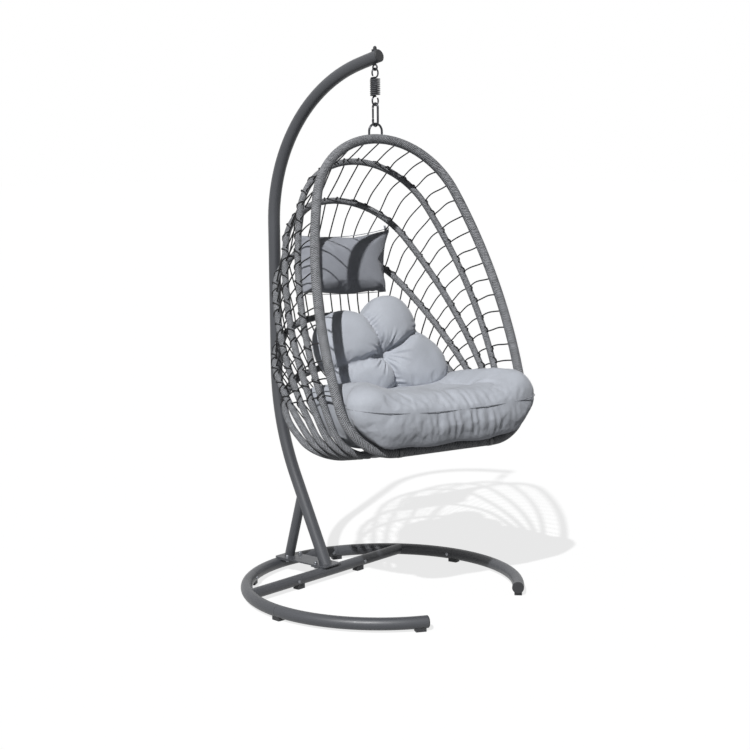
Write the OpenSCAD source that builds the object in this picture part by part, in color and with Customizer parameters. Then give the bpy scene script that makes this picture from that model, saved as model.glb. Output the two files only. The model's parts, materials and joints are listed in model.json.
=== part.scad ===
// Hanging egg chair: a folding basket of corded hoops that hangs by a spring
// from a bent pole on a C-shaped floor base.
// Millimetres, +Z up, front towards -Y. The origin is on the floor, straight
// under the eye that the basket hangs from.

/* [Base ring] */
// Centreline radius of the floor ring
ring_r = 505; // [420:5:620]
// Outer diameter of the ring tube
ring_d = 44; // [36:1:56]
// Open angle at the front of the ring
ring_gap = 64; // [40:2:90]
// How far the ring centre stands in front of the hanging line
ring_lead = 16; // [0:1:60]
// Wall of the stand tubes
tube_wall = 1.5; // [1:0.1:3]
// Angle of the rear tube joints, each side of the back
joint_rear = 28; // [20:1:36]
// Angle of the front tube joints, each side of the back
joint_front = 84; // [76:1:96]
// Clear height of the tube above the floor
foot_h = 9; // [6:1:16]
// Length of a foot pad along its tube
foot_len = 38; // [26:1:50]
// Width of a foot pad on the floor
foot_w = 28; // [18:1:34]

/* [Crossbar] */
// Outer diameter of the crossbar
bar_d = 40; // [32:1:44]
// Crossbar distance behind the hanging line
bar_y = 253; // [200:1:300]
// Half distance between the crossbar joints
bar_joint = 168; // [120:1:230]

/* [Pole] */
// Outer diameter of the pole
pole_d = 46; // [38:1:56]
// Straight part of the pole, behind the hanging line
pole_y = 516; // [470:1:560]
// Radius of the upper bend
arm_r = 600; // [540:5:640]
// Angle of the upper bend
arm_turn = 75; // [68:1:80]
// Height where the upper bend starts
arm_z = 1358; // [1250:2:1500]
// Reach of the arm's end past the hanging line
arm_over = 18; // [14:1:60]
// Radius of the lower bend
knee_r = 1000; // [700:10:1200]
// Lean of the leg below the lower bend
leg_lean = 25; // [15:1:30]
// Height where the lower bend starts
knee_z = 804; // [700:2:900]
// Height of the seam between the pole's two halves
seam_z = 1030; // [920:2:1200]
// Length of the sleeve inside the seam
sleeve_len = 220; // [120:5:260]

/* [Strut and foot plate] */
// Outer diameter of the strut
strut_d = 38; // [28:1:42]
// Strut foot behind the hanging line
strut_y = 463; // [440:1:480]
// Lean of the strut towards the pole
strut_lean = 16; // [10:1:22]
// Thickness of the foot plate and its tabs
plate_t = 5; // [3:0.5:8]
// Width of the foot plate
plate_w = 92; // [80:1:120]
// Rear edge of the foot plate behind the hanging line
plate_back = 500; // [485:1:520]
// Front edge of the foot plate behind the hanging line
plate_front = 232; // [215:1:245]
// Side distance of the plate bolts from the middle
bolt_x = 36; // [34:0.5:44]
// Thread size of the plate bolts
bolt_d = 8; // [6:1:10]
// Distance from the ring centreline to the rear bolts
bolt_rear = 49; // [42:1:60]
// Distance from the crossbar to the front bolts
bolt_front = 37; // [32:1:50]

/* [Hanger] */
// Wire of the eyebolt's eye
eye_wire = 6; // [5:0.5:8]
// Inner diameter of the eye
eye_in = 13; // [11:0.5:20]
// Wire of the spring
spring_wire = 6; // [4:0.5:7]
// Outer diameter of the spring
spring_d = 38; // [30:1:50]
// Closed turns in the spring
spring_turns = 9; // [6:1:12]
// Gap between two turns
spring_gap = 0.6; // [0.5:0.1:2]
// Drop of the wire where it crosses over from the spring to a hook
spring_cross = 3.4; // [2:0.2:6]
// Centreline radius of the spring's two end hooks
hook_r = 16; // [14:0.5:20]
// Wire of the snap hook
snap_wire = 8; // [6:0.5:9]
// Overall length of the snap hook
snap_len = 88; // [80:1:110]
// Overall width of the snap hook
snap_w = 40; // [36:1:48]
// Diameter of the snap hook's gate
gate_d = 7; // [5:0.5:8]
// Wire of the loop on the rim
loop_wire = 8; // [6:0.5:10]
// Centreline half width of the loop on the rim
loop_r = 27; // [22:1:34]
// Space left between two linked wires
link_gap = 0.3; // [0.2:0.05:0.6]

/* [Basket] */
// Turn of the basket about the hanging line
basket_turn = -16.5; // [-40:0.5:40]
// Lean of the rim away from upright
rim_lean = 22; // [14:0.5:28]
// Half width of the rim, on its centreline
rim_half = 392; // [340:2:420]
// Height of the rim along its own plane
rim_h = 1138; // [1060:2:1180]
// Height of the rim's widest point
rim_belly = 336; // [280:2:400]
// Radius of the rim's long sides
rim_side_r = 1820; // [1500:10:2400]
// Radius of the rim's lower corners
rim_corner_r = 183; // [140:1:200]
// Diameter of the rim tube
rim_tube = 28; // [22:1:30]
// Thickness of the rope cover on rim and ribs
rope_t = 3; // [2:0.5:4]
// Wall of the rim and rib tubes
rib_wall = 1.2; // [0.8:0.1:2]
// Drop of the rim's top below the hanging loop's crown
loop_rise = 54; // [50:1:70]

/* [Ribs] */
// Diameter of the rib tubes
rib_tube = 18; // [14:0.5:20]
// Half width of the ribs, on their centreline
rib_half = 380; // [330:2:390]
// Radius of the ribs' long sides
rib_side_r = 1600; // [1300:10:2400]
// Radius of the ribs' lower corners
rib_corner_r = 120; // [100:1:150]
// Distance from the rim's bottom tube to the first rib's
rib_first = 105; // [90:1:130]
// Distance from one rib's bottom tube to the next
rib_pitch = 30.5; // [28:0.5:40]
// Downward slope of the row of bottom tubes
row_drop = 11; // [4:0.5:16]
// Lean of the first rib
lean_first = 25.8; // [24:0.2:30]
// Extra lean of each following rib
lean_step = 9.2; // [6:0.2:10]
// Height of rib A along its plane
rib_a_h = 1104; // [1060:2:1120]
// Height of rib B along its plane
rib_b_h = 1042; // [1000:2:1060]
// Height of rib C along its plane
rib_c_h = 944; // [900:2:980]
// Height of rib D along its plane
rib_d_h = 716; // [660:2:760]
// Height of rib E along its plane
rib_e_h = 542; // [500:2:600]
// Height of rib A's widest point
rib_a_belly = 340; // [260:5:380]
// Height of rib B's widest point
rib_b_belly = 260; // [200:5:340]
// Height of rib C's widest point
rib_c_belly = 180; // [160:5:260]
// Height of rib D's widest point
rib_d_belly = 170; // [160:5:220]
// Height of rib E's widest point
rib_e_belly = 165; // [155:5:200]

/* [Fold links] */
// Side distance of the outer links from the middle
link_x = 190; // [150:1:195]
// Width of a link along the tubes
link_w = 14; // [10:1:20]
// Wall of a link round its tube
link_wall = 4; // [3:0.5:6]
// Radial clearance of a tube that turns in a link
link_play = 0.15; // [0.05:0.05:0.3]

/* [Cords] */
// Diameter of the cords
cord_d = 4.4; // [3:0.1:5.4]
// Cords between two hoops
cord_count = 36; // [24:1:48]
// Height above the seat cushion's seam where the rim's row of cords ends
cord_low = 63; // [10:1:150]
// How much lower the row ends on each following hoop
cord_drop = 18; // [0:1:30]
// Spacing of the seat cords inside rib E
seat_pitch = 44; // [36:1:70]

/* [Cushions] */
// Half width of the seat cushion
seat_half = 354; // [320:2:360]
// Depth of the seat cushion from front to back
seat_depth = 496; // [420:4:510]
// Reach of the seat cushion in front of the rim's bottom tube
seat_front = 73.6977; // [15:0.1:85]
// Height of the seat cushion's seam above the rim's bottom tube
seat_seam = 137.5886; // [115:0.1:165]
// Swell of the seat cushion's front above its seam
seat_crown = 56; // [44:1:70]
// Height of the roll at the seat cushion's wider end
seat_roll = 52; // [30:1:60]
// Gap between the seat cushion and what carries it
seat_rest = 5; // [3:1:12]
// Height of the back cushion's tuft above the seat cushion's seam
back_rise = 135; // [128:1:168]
// Distance of the back cushion's tuft behind the seat cushion's front edge
back_set = 480; // [460:1:500]
// Reach of the back cushion's upper peak from its tuft
back_reach = 233; // [200:1:245]
// Swell of the back cushion to the front
back_front = 90; // [70:2:100]
// Swell of the back cushion to the rear
back_rear = 75; // [50:1:85]
// Lean of the back cushion
back_lean = 16; // [5:1:25]
// Depth of the back cushion's tuft
tuft_depth = 50; // [20:1:60]
// Width of the head pillow
pillow_w = 370; // [320:5:420]
// Height of the head pillow
pillow_h = 218; // [190:2:250]
// Thickness of the head pillow
pillow_t = 96; // [70:2:120]
// How far the pillow's one long corner stands out
pillow_tip = 36; // [10:1:40]
// Height of the head pillow's middle above the seat cushion's seam
pillow_rise = 457; // [430:1:480]
// Distance of the head pillow's middle behind the seat cushion's front edge
pillow_set = 736; // [700:1:745]
// Lean of the head pillow
pillow_lean = 12; // [0:1:30]

/* [Hidden] */
$fn = 48;

steel = "#4a4c50";
black = "#1c1d1f";
zinc = "#8f9296";
rope_grey = "#8d8f8e";
cord_grey = "#26272a";
cloth = "#a9acb2";
pillow_cloth = "#7d8087";

// Small lengths
seam = 1;
snug = 0.05;

// Heights of the base
ring_z = foot_h + ring_d / 2;
bar_z = ring_z + (ring_d - bar_d) / 2;
base_top = ring_z + ring_d / 2;
plate_top = base_top + plate_t;
tip_turn = 180 - ring_gap / 2;
bar_meet = acos((bar_y + ring_lead) / ring_r);
bar_half = ring_r * sin(bar_meet);
ring_back = ring_r - ring_lead;

// Places along the pole, in its own plane
arm_cy = pole_y - arm_r;
arm_end_y = arm_cy + arm_r * cos(arm_turn);
arm_end_z = arm_z + arm_r * sin(arm_turn);
arm_len = (arm_end_y + arm_over) / sin(arm_turn);
hang_z = arm_end_z + arm_end_y / tan(arm_turn);
knee_end_y = pole_y - knee_r * (1 - cos(leg_lean));
knee_end_z = knee_z - knee_r * sin(leg_lean);
leg_len = (knee_end_z - plate_top) / cos(leg_lean);
leg_foot_y = knee_end_y - leg_len * sin(leg_lean);

// The hanging chain, from the top down, all on the hanging line
eye_r = (eye_in + eye_wire) / 2;
under_pole = hang_z - pole_d / 2 / sin(arm_turn);
eye_z = under_pole - eye_r - eye_wire / 3;
hook_top_z = eye_z - eye_in / 2 + spring_wire / 2 + link_gap;
coil_r = (spring_d - spring_wire) / 2;
coil_pitch = spring_wire + spring_gap;
coil_top_z = hook_top_z - 2 * hook_r - spring_cross;
coil_bottom_z = coil_top_z - spring_turns * coil_pitch;
hook_low_z = coil_bottom_z - spring_cross - 2 * hook_r;
snap_top_z = hook_low_z + (spring_wire + snap_wire) / 2 + link_gap;
snap_r = (snap_w - snap_wire) / 2;
snap_low_z = snap_top_z - (snap_len - snap_wire);
loop_top_z = snap_low_z + (snap_wire + loop_wire) / 2 + link_gap;
rim_top_z = loop_top_z - loop_rise;

// Each hoop: half width, height, belly, side radius, corner radius, bottom
// tube's place (forward distance, height) and lean
rim_low_y = -rim_h * sin(rim_lean);
rim_low_z = rim_top_z - rim_h * cos(rim_lean);
rib_heights = [rib_a_h, rib_b_h, rib_c_h, rib_d_h, rib_e_h];
rib_bellies = [rib_a_belly, rib_b_belly, rib_c_belly, rib_d_belly, rib_e_belly];
function row_at(i) = rib_first + i * rib_pitch;
function rib(i) = [rib_half, rib_heights[i], rib_bellies[i], rib_side_r, rib_corner_r,
    rim_low_y + row_at(i) * cos(row_drop), rim_low_z - row_at(i) * sin(row_drop),
    lean_first + i * lean_step];
rim_hoop = [rim_half, rim_h, rim_belly, rim_side_r, rim_corner_r,
    rim_low_y, rim_low_z, rim_lean];
hoops = [rim_hoop, rib(0), rib(1), rib(2), rib(3), rib(4)];
cover_r = [rim_tube / 2 + rope_t, for (i = [0:4]) rib_tube / 2 + rope_t];

// The seat cushion's front edge and seam, which the cords, the back cushion
// and the head pillow are set from
seat_y = rim_low_y - seat_front;
cushion_z = rim_low_z + seat_seam;

// Geometry of a hoop of five arcs and a straight foot
function top_r(h) = let (k = h[1] - h[2], dx = h[0] - h[3])
    (h[3] * h[3] - dx * dx - k * k) / (2 * (h[3] - k));
function corner_x(h) = h[0] - h[3] + sqrt(pow(h[3] - h[4], 2) - pow(h[2] - h[4], 2));
function top_angle(h) = atan2(h[1] - top_r(h) - h[2], h[3] - h[0]);
function low_angle(h) = atan2(h[4] - h[2], corner_x(h) - h[0] + h[3]);

// Lengths of the corner, side and half top arcs, for the cords
function len_corner(h) = h[4] * (90 + low_angle(h)) * PI / 180;
function len_side(h) = h[3] * (top_angle(h) - low_angle(h)) * PI / 180;
function len_top(h) = top_r(h) * (90 - top_angle(h)) * PI / 180;
function half_len(h) = len_corner(h) + len_side(h) + len_top(h);

// Angle of the outline's normal at length s from the foot's end
function turn_at(h, s) = s < len_corner(h) ? -90 + s / h[4] * 180 / PI
    : s < len_corner(h) + len_side(h)
        ? low_angle(h) + (s - len_corner(h)) / h[3] * 180 / PI
        : top_angle(h) + (s - len_corner(h) - len_side(h)) / top_r(h) * 180 / PI;
function centre_at(h, s) = s < len_corner(h) ? [corner_x(h), h[4]]
    : s < len_corner(h) + len_side(h) ? [h[0] - h[3], h[2]] : [0, h[1] - top_r(h)];
function radius_at(h, s) = s < len_corner(h) ? h[4]
    : s < len_corner(h) + len_side(h) ? h[3] : top_r(h);
function flat_point(h, s) = centre_at(h, s)
    + radius_at(h, s) * [cos(turn_at(h, s)), sin(turn_at(h, s))];

// Point and tangent on a hoop in the basket's frame, f from -1 to 1 round it
function lift(h, p) = [p[0], h[5] + p[1] * sin(h[7]), h[6] + p[1] * cos(h[7])];
function aim(h, p) = [p[0], p[1] * sin(h[7]), p[1] * cos(h[7])];
function side_of(f) = f < 0 ? -1 : 1;
function hoop_point(h, f) = let (s = (1 - abs(f)) * half_len(h), p = flat_point(h, s))
    lift(h, [side_of(f) * p[0], p[1]]);
function hoop_tangent(h, f) = let (s = (1 - abs(f)) * half_len(h), a = turn_at(h, s))
    aim(h, [-side_of(f) * sin(a), cos(a)]);

// ---- tubes ----

// A straight tube from the origin along +Z
module pipe(d, len, wall) {
    difference() {
        cylinder(d = d, h = len);
        translate([0, 0, -1]) cylinder(d = d - 2 * wall, h = len + 2);
    }
}

// Part of a ring round Z, from angle a to angle b
module bend(r, a, b) {
    rotate([0, 0, a]) rotate_extrude(angle = b - a, $fn = 180) translate([r, 0]) children();
}

// Where two lengths of one tube butt together, a ring inside the wall joins them
butt_gap = 0.1;
butt_len = 2;

module butt(d, wall) {
    translate([0, 0, -butt_len / 2]) difference() {
        cylinder(d = d - 0.6 * wall, h = butt_len);
        translate([0, 0, -1]) cylinder(d = d - 1.4 * wall, h = butt_len + 2);
    }
}

function butt_turn(r) = butt_gap / 2 / r * 180 / PI;

module tube_face(d, wall) {
    difference() {
        circle(d = d, $fn = 32);
        circle(d = d - 2 * wall, $fn = 32);
    }
}

// Ring frame: angle 0 is the back, positive angles go to the left side
module on_ring(angle) {
    translate([0, -ring_lead, ring_z]) rotate([0, 0, 90 + angle]) children();
}

module ring_arc(a, b) {
    translate([0, -ring_lead, ring_z]) bend(ring_r, 90 + a, 90 + b) tube_face(ring_d, tube_wall);
}

module ring_core(grow) {
    translate([0, -ring_lead, ring_z]) rotate_extrude() translate([ring_r, 0]) circle(d = ring_d + 2 * grow);
}

module crossbar_core(grow) {
    translate([-bar_half, bar_y, bar_z]) rotate([0, 90, 0]) cylinder(d = bar_d + 2 * grow, h = 2 * bar_half);
}

seam_turn = seam / 2 / ring_r * 180 / PI;

module base_side(side) {
    color(steel) {
        difference() {
            ring_arc(side * (joint_rear + seam_turn), side * (joint_front - seam_turn));
            base_screw_holes();
        }
        difference() {
            translate([0, bar_y, bar_z]) rotate([0, -side * 90, 0])
                translate([0, 0, bar_joint + seam / 2])
                    pipe(bar_d, bar_half - bar_joint, tube_wall);
            ring_core(-0.3);
            base_screw_holes();
        }
    }
}

module base_back_arc() {
    color(steel) difference() {
        ring_arc(-joint_rear + seam_turn, joint_rear - seam_turn);
        base_screw_holes();
    }
}

module base_side_left() {
    base_side(1);
}

module base_side_right() {
    base_side(-1);
}

module base_front(side) {
    color(steel) difference() {
        ring_arc(side * (joint_front + seam_turn), side * tip_turn);
        base_screw_holes();
    }
}

module base_front_left() {
    base_front(1);
}

module base_front_right() {
    base_front(-1);
}

module crossbar() {
    color(steel) translate([-bar_joint + seam / 2, bar_y, bar_z]) rotate([0, 90, 0])
        pipe(bar_d, 2 * bar_joint - seam, tube_wall);
}

// Sleeves that join the tubes from inside
base_sleeve_len = 70;
sleeve_wall = 2;

module base_sleeves() {
    half = base_sleeve_len / 2 / ring_r * 180 / PI;
    color(steel) difference() {
        sleeve_tubes(half);
        base_screw_holes();
    }
}

module sleeve_tubes(half) {
    for (a = [-joint_front, -joint_rear, joint_rear, joint_front])
        translate([0, -ring_lead, ring_z]) bend(ring_r, 90 + a - half, 90 + a + half)
            tube_face(ring_d - 2 * tube_wall - 2 * snug, sleeve_wall);
    for (side = [-1, 1])
        translate([side * bar_joint - base_sleeve_len / 2, bar_y, bar_z]) rotate([0, 90, 0])
            pipe(bar_d - 2 * tube_wall - 2 * snug, base_sleeve_len, sleeve_wall);
}

// Plastic caps in the two open ends: a plug and a domed head
cap_head = 5;
cap_plug = 22;

module end_cap(d, wall, play) {
    difference() {
        union() {
            translate([0, 0, -cap_plug]) cylinder(d = d - 2 * wall - 2 * play, h = cap_plug);
            cylinder(d = d, h = cap_head / 2);
            translate([0, 0, cap_head / 2]) cylinder(d1 = d, d2 = d - cap_head, h = cap_head / 2);
        }
        translate([0, 0, -cap_plug - 1]) cylinder(d = d - 6 * wall, h = cap_plug - 2);
    }
}

// The plugs are straight, so they need play in the curved tube
module base_end_caps() {
    play = snug + cap_plug * cap_plug / (2 * ring_r);
    color(black) for (side = [-1, 1])
        on_ring(side * tip_turn) translate([ring_r, 0, 0]) rotate([-side * 90, 0, 0])
            end_cap(ring_d, tube_wall, play);
}

// Pan-head screws; the head's underside is at the origin, the shank goes down
module pan_screw(d, len) {
    cylinder(d = 2 * d, h = 0.35 * d);
    translate([0, 0, 0.35 * d]) cylinder(d1 = 2 * d, d2 = 1.2 * d, h = 0.3 * d);
    translate([0, 0, -len]) cylinder(d = d, h = len);
}

screw_d = 6;
screw_len = 10;
screw_step = 20;

module screw_hole() {
    translate([0, 0, -screw_len - 1]) cylinder(d = screw_d + 0.2, h = screw_len + 3);
}

// One screw beside each joint of the base
module base_screw_places() {
    lean = screw_step / ring_r * 180 / PI;
    for (a = [-joint_front, -joint_rear, joint_rear, joint_front])
        on_ring(a + lean) translate([ring_r - ring_d / 2 - snug, 0, 0]) rotate([0, -90, 0]) children();
    for (side = [-1, 1])
        translate([side * (bar_joint + screw_step), bar_y - bar_d / 2, bar_z]) rotate([90, 0, 0]) children();
}

module base_screw_holes() {
    base_screw_places() screw_hole();
}

module base_screws() {
    color(zinc) base_screw_places() pan_screw(screw_d, screw_len);
}

// A foot pad below a tube that runs along Y at the origin, floor at -drop
module foot_pad(d, drop) {
    edge = 3;
    translate([-foot_w / 2, -foot_len / 2 + edge, -drop]) cube([foot_w, foot_len - 2 * edge, drop - d / 4]);
    translate([-foot_w / 2 + edge, -foot_len / 2, -drop]) cube([foot_w - 2 * edge, foot_len, drop - d / 4]);
    for (x = [-1, 1], y = [-1, 1])
        translate([x * (foot_w / 2 - edge), y * (foot_len / 2 - edge), -drop])
            cylinder(r = edge, h = drop - d / 4);
}

module foot_pads() {
    color(black) {
        difference() {
            for (a = [joint_rear, joint_front, tip_turn - foot_len / ring_r * 36], side = [-1, 1])
                on_ring(side * a) translate([ring_r, 0, 0]) foot_pad(ring_d, ring_z);
            ring_core(0);
        }
        difference() {
            for (side = [-1, 1])
                translate([side * bar_joint, bar_y, bar_z]) rotate([0, 0, 90]) foot_pad(bar_d, bar_z);
            crossbar_core(0);
        }
    }
}

// ---- foot of the pole ----

bolt_back_y = ring_back - bolt_rear;
bolt_front_y = bar_y + bolt_front;
tab_reach = 2 * bolt_d;

module bolt_places() {
    for (x = [-bolt_x, bolt_x], y = [bolt_front_y, bolt_back_y]) translate([x, y, 0]) children();
}

module bolt_holes() {
    bolt_places() translate([0, 0, base_top - 2 * plate_t]) cylinder(d = bolt_d + 0.4, h = 4 * plate_t);
}

module ring_tab() {
    color(steel) difference() {
        translate([-plate_w / 2, bolt_back_y - tab_reach, base_top - plate_t])
            cube([plate_w, bolt_rear + tab_reach - ring_d / 4, plate_t - snug]);
        ring_core(0);
        bolt_holes();
    }
}

module crossbar_tab() {
    color(steel) difference() {
        translate([-plate_w / 2, bar_y + bar_d / 4, base_top - plate_t])
            cube([plate_w, bolt_front + tab_reach - bar_d / 4, plate_t - snug]);
        crossbar_core(0);
        bolt_holes();
    }
}

module foot_plate() {
    corner = 10;
    color(steel) difference() {
        union() {
            translate([-plate_w / 2, plate_front + corner, base_top])
                cube([plate_w, plate_back - plate_front - 2 * corner, plate_t]);
            translate([-plate_w / 2 + corner, plate_front, base_top])
                cube([plate_w - 2 * corner, plate_back - plate_front, plate_t]);
            for (x = [-1, 1], y = [plate_front + corner, plate_back - corner])
                translate([x * (plate_w / 2 - corner), y, base_top]) cylinder(r = corner, h = plate_t);
        }
        bolt_holes();
    }
}

nut_h = 0.8 * bolt_d;
head_h = 0.65 * bolt_d;

module plate_bolts() {
    color(zinc) bolt_places() {
        translate([0, 0, base_top - plate_t - head_h]) cylinder(d = 1.75 * bolt_d, h = head_h, $fn = 6);
        translate([0, 0, base_top - plate_t - 0.1])
            cylinder(d = bolt_d, h = 2 * plate_t + nut_h - 1);
    }
}

// Dome nuts: a hexagon, a washer flange and a round crown
module dome_nut(d) {
    difference() {
        union() {
            cylinder(d = 2 * d, h = 0.15 * d);
            translate([0, 0, 0.15 * d]) cylinder(d = 1.75 * d, h = 0.65 * d, $fn = 6);
            intersection() {
                translate([0, 0, 0.8 * d]) sphere(d = 1.5 * d);
                translate([0, 0, 0.7 * d]) cylinder(d = 2 * d, h = d);
            }
        }
        translate([0, 0, -1]) cylinder(d = d + 0.1, h = 1 + 0.9 * d);
    }
}

module plate_nuts() {
    color(zinc) bolt_places() translate([0, 0, plate_top]) dome_nut(bolt_d);
}

// Frame of the leg: origin at its foot on the plate, +Z up along the tube
module on_leg() {
    translate([0, leg_foot_y, plate_top]) rotate([-leg_lean, 0, 0]) children();
}

strut_meet = (strut_y - leg_foot_y) * cos(leg_lean) / sin(leg_lean + strut_lean);

module strut() {
    color(steel) difference() {
        translate([0, strut_y, plate_top]) rotate([strut_lean, 0, 0]) translate([0, 0, -strut_d])
            pipe(strut_d, strut_meet + strut_d, tube_wall);
        translate([-strut_d, strut_y - 2 * strut_d, plate_top - 2 * strut_d])
            cube([2 * strut_d, 4 * strut_d, 2 * strut_d]);
        on_leg() translate([0, 0, -pole_d]) cylinder(d = pole_d, h = leg_len + pole_d);
    }
}

// ---- pole ----

// Bends in the pole's plane: X of the bend is Y of the chair, Y is height
module in_pole_plane() {
    rotate([90, 0, 90]) children();
}

module leg_pipe(d, wall, low) {
    difference() {
        on_leg() translate([0, 0, -low]) pipe(d, leg_len + low - butt_gap / 2, wall);
        translate([-pole_d, leg_foot_y - 2 * pole_d, plate_top - 2 * pole_d])
            cube([2 * pole_d, 4 * pole_d, 2 * pole_d]);
    }
}

module pole_screw_places() {
    for (up = [-1, 1])
        translate([0, pole_y + pole_d / 2, seam_z + up * 0.38 * sleeve_len]) rotate([-90, 0, 0]) children();
}

module pole_screw_holes() {
    pole_screw_places() screw_hole();
}

module pole_lower() {
    color(steel) {
        leg_pipe(pole_d, tube_wall, pole_d);
        on_leg() translate([0, 0, leg_len]) butt(pole_d, tube_wall);
        in_pole_plane() translate([pole_y - knee_r, knee_z])
            bend(knee_r, -leg_lean + butt_turn(knee_r), -butt_turn(knee_r)) tube_face(pole_d, tube_wall);
        translate([0, pole_y, knee_z]) butt(pole_d, tube_wall);
        difference() {
            translate([0, pole_y, knee_z + butt_gap / 2])
                pipe(pole_d, seam_z - knee_z - (seam + butt_gap) / 2, tube_wall);
            pole_screw_holes();
        }
    }
}

module pole_upper() {
    color(steel) difference() {
        union() {
            translate([0, pole_y, seam_z + seam / 2])
                pipe(pole_d, arm_z - seam_z - (seam + butt_gap) / 2, tube_wall);
            translate([0, pole_y, arm_z]) butt(pole_d, tube_wall);
            in_pole_plane() translate([arm_cy, arm_z])
                bend(arm_r, butt_turn(arm_r), arm_turn - butt_turn(arm_r)) tube_face(pole_d, tube_wall);
            translate([0, arm_end_y, arm_end_z]) rotate([arm_turn, 0, 0]) {
                butt(pole_d, tube_wall);
                translate([0, 0, butt_gap / 2]) pipe(pole_d, arm_len - butt_gap / 2, tube_wall);
            }
        }
        eye_room();
        pole_screw_holes();
    }
}

module pole_sleeve() {
    color(steel) difference() {
        translate([0, pole_y, seam_z - sleeve_len / 2])
            pipe(pole_d - 2 * tube_wall - 2 * snug, sleeve_len, sleeve_wall);
        pole_screw_holes();
    }
}

module pole_screws() {
    color(zinc) pole_screw_places() pan_screw(screw_d, screw_len);
}

module pole_cap() {
    color(black) difference() {
        translate([0, arm_end_y, arm_end_z]) rotate([arm_turn, 0, 0])
            translate([0, 0, arm_len]) end_cap(pole_d, tube_wall, snug);
        eye_room();
    }
}

// ---- hanger ----

shank_d = eye_wire + 2;
washer_t = 2;
nut_seat = pole_d / 2 / sin(arm_turn);

// The room that the eyebolt takes up in the arm
module eye_room() {
    translate([0, 0, hang_z - pole_d]) cylinder(d = shank_d + 0.4, h = 2 * pole_d);
    translate([0, 0, eye_z]) rotate([0, 90, 0])
        rotate_extrude() translate([eye_r, 0]) circle(d = eye_wire + 0.4);
}

module eyebolt() {
    color(zinc) {
        translate([0, 0, eye_z]) rotate([0, 90, 0])
            rotate_extrude() translate([eye_r, 0]) circle(d = eye_wire);
        translate([0, 0, eye_z + eye_r])
            cylinder(d = shank_d, h = hang_z - eye_z - eye_r + nut_seat + 2 * washer_t + 4);
    }
}

// A washer that meets the round pole, a hexagon nut and a crown
module eyebolt_nuts() {
    color(zinc) difference() {
        union() {
            translate([0, 0, hang_z + nut_seat - 6]) cylinder(d = 3 * shank_d, h = 6 + 2 * washer_t);
            translate([0, 0, hang_z + nut_seat + 2 * washer_t]) dome_nut(shank_d);
        }
        translate([0, arm_end_y, arm_end_z]) rotate([arm_turn, 0, 0]) translate([0, 0, -10])
            cylinder(d = pole_d, h = arm_len + 20);
        translate([0, 0, hang_z]) cylinder(d = shank_d + 0.1, h = nut_seat + 2 * washer_t + 6);
    }
}

// The spring's turns: one tube swept along a helix, 8 rings a turn, 6 sides
wire_sides = 6;
turn_rings = 8;
coil_rings = spring_turns * turn_rings;
coil_start = 90;

function coil_angle(i) = coil_start - i * 360 / turn_rings;
function coil_point(i) = [coil_r * cos(coil_angle(i)), coil_r * sin(coil_angle(i)),
    -i * coil_pitch / turn_rings];
function wire_ring(i) = [for (k = [0:wire_sides - 1]) let (a = k * 360 / wire_sides)
    coil_point(i) + spring_wire / 2 * (cos(a) * [cos(coil_angle(i)), sin(coil_angle(i)), 0]
    + sin(a) * [0, 0, 1])];

coil_gap = min([for (i = [0:turn_rings - 1], j = [i + turn_rings / 2:coil_rings])
    norm(coil_point(i) - coil_point(j)) - spring_wire]);
echo(least_gap_between_spring_turns_mm = coil_gap);

module spring_coil() {
    points = [for (i = [0:coil_rings]) each wire_ring(i)];
    sides = [for (i = [0:coil_rings - 1], k = [0:wire_sides - 1])
        let (a = i * wire_sides + k, b = i * wire_sides + (k + 1) % wire_sides)
            each [[a, a + wire_sides, b], [b, a + wire_sides, b + wire_sides]]];
    start = [for (k = [1:wire_sides - 2]) [0, k, k + 1]];
    last = coil_rings * wire_sides;
    end = [for (k = [1:wire_sides - 2]) [last, last + k + 1, last + k]];
    color(zinc) translate([0, 0, coil_top_z])
        polyhedron(points = points, faces = concat(sides, start, end));
}

// An end hook, from the end of the coil at [0, coil_r, 0] upward: a half turn
// crosses over to the middle, and most of a turn makes the hook
hook_open = 50;
cross_lean = atan(spring_cross / coil_r);
cross_r = norm([coil_r, spring_cross]) / 2;

module wire_face() {
    circle(d = spring_wire, $fn = 24);
}

module end_hook() {
    cross = butt_turn(cross_r);
    turn = butt_turn(hook_r);
    translate([0, 0, spring_cross]) {
        rotate([-cross_lean, 0, 0]) translate([0, cross_r, 0]) bend(cross_r, 90, 270 - cross) wire_face();
        rotate([0, 90, 0]) translate([0, 0, -butt_len / 2]) cylinder(d = spring_wire / 2, h = butt_len);
        translate([0, 0, hook_r]) rotate([90, 0, 0]) mirror([0, 0, 1])
            bend(hook_r, -90 + turn, 270 - hook_open) wire_face();
    }
}

module spring_top_hook() {
    color(zinc) translate([0, 0, coil_top_z]) end_hook();
}

module spring_bottom_hook() {
    color(zinc) translate([0, 0, coil_bottom_z]) mirror([0, 0, 1]) mirror([1, 0, 0]) end_hook();
}

// Everything that turns with the basket is drawn in the basket's own frame
module turned() {
    rotate([0, 0, basket_turn]) children();
}

snap_top_c = snap_top_z - snap_r;
snap_low_c = snap_low_z + snap_r;
pin_d = 3;
pin_play = 0.05;
gate_pivot_z = snap_low_c + 5;
ear_top = gate_pivot_z + 4.5;
gate_foot = gate_pivot_z + 7;
gate_tip_z = snap_top_c - 1;
slot_w = 3.2;
tongue_w = 2.6;
tongue_r = 2.4;

module snap_face() {
    circle(d = snap_wire, $fn = 24);
}

module snap_butt() {
    translate([0, 0, -butt_len / 2]) cylinder(d = snap_wire / 2, h = butt_len);
}

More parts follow.
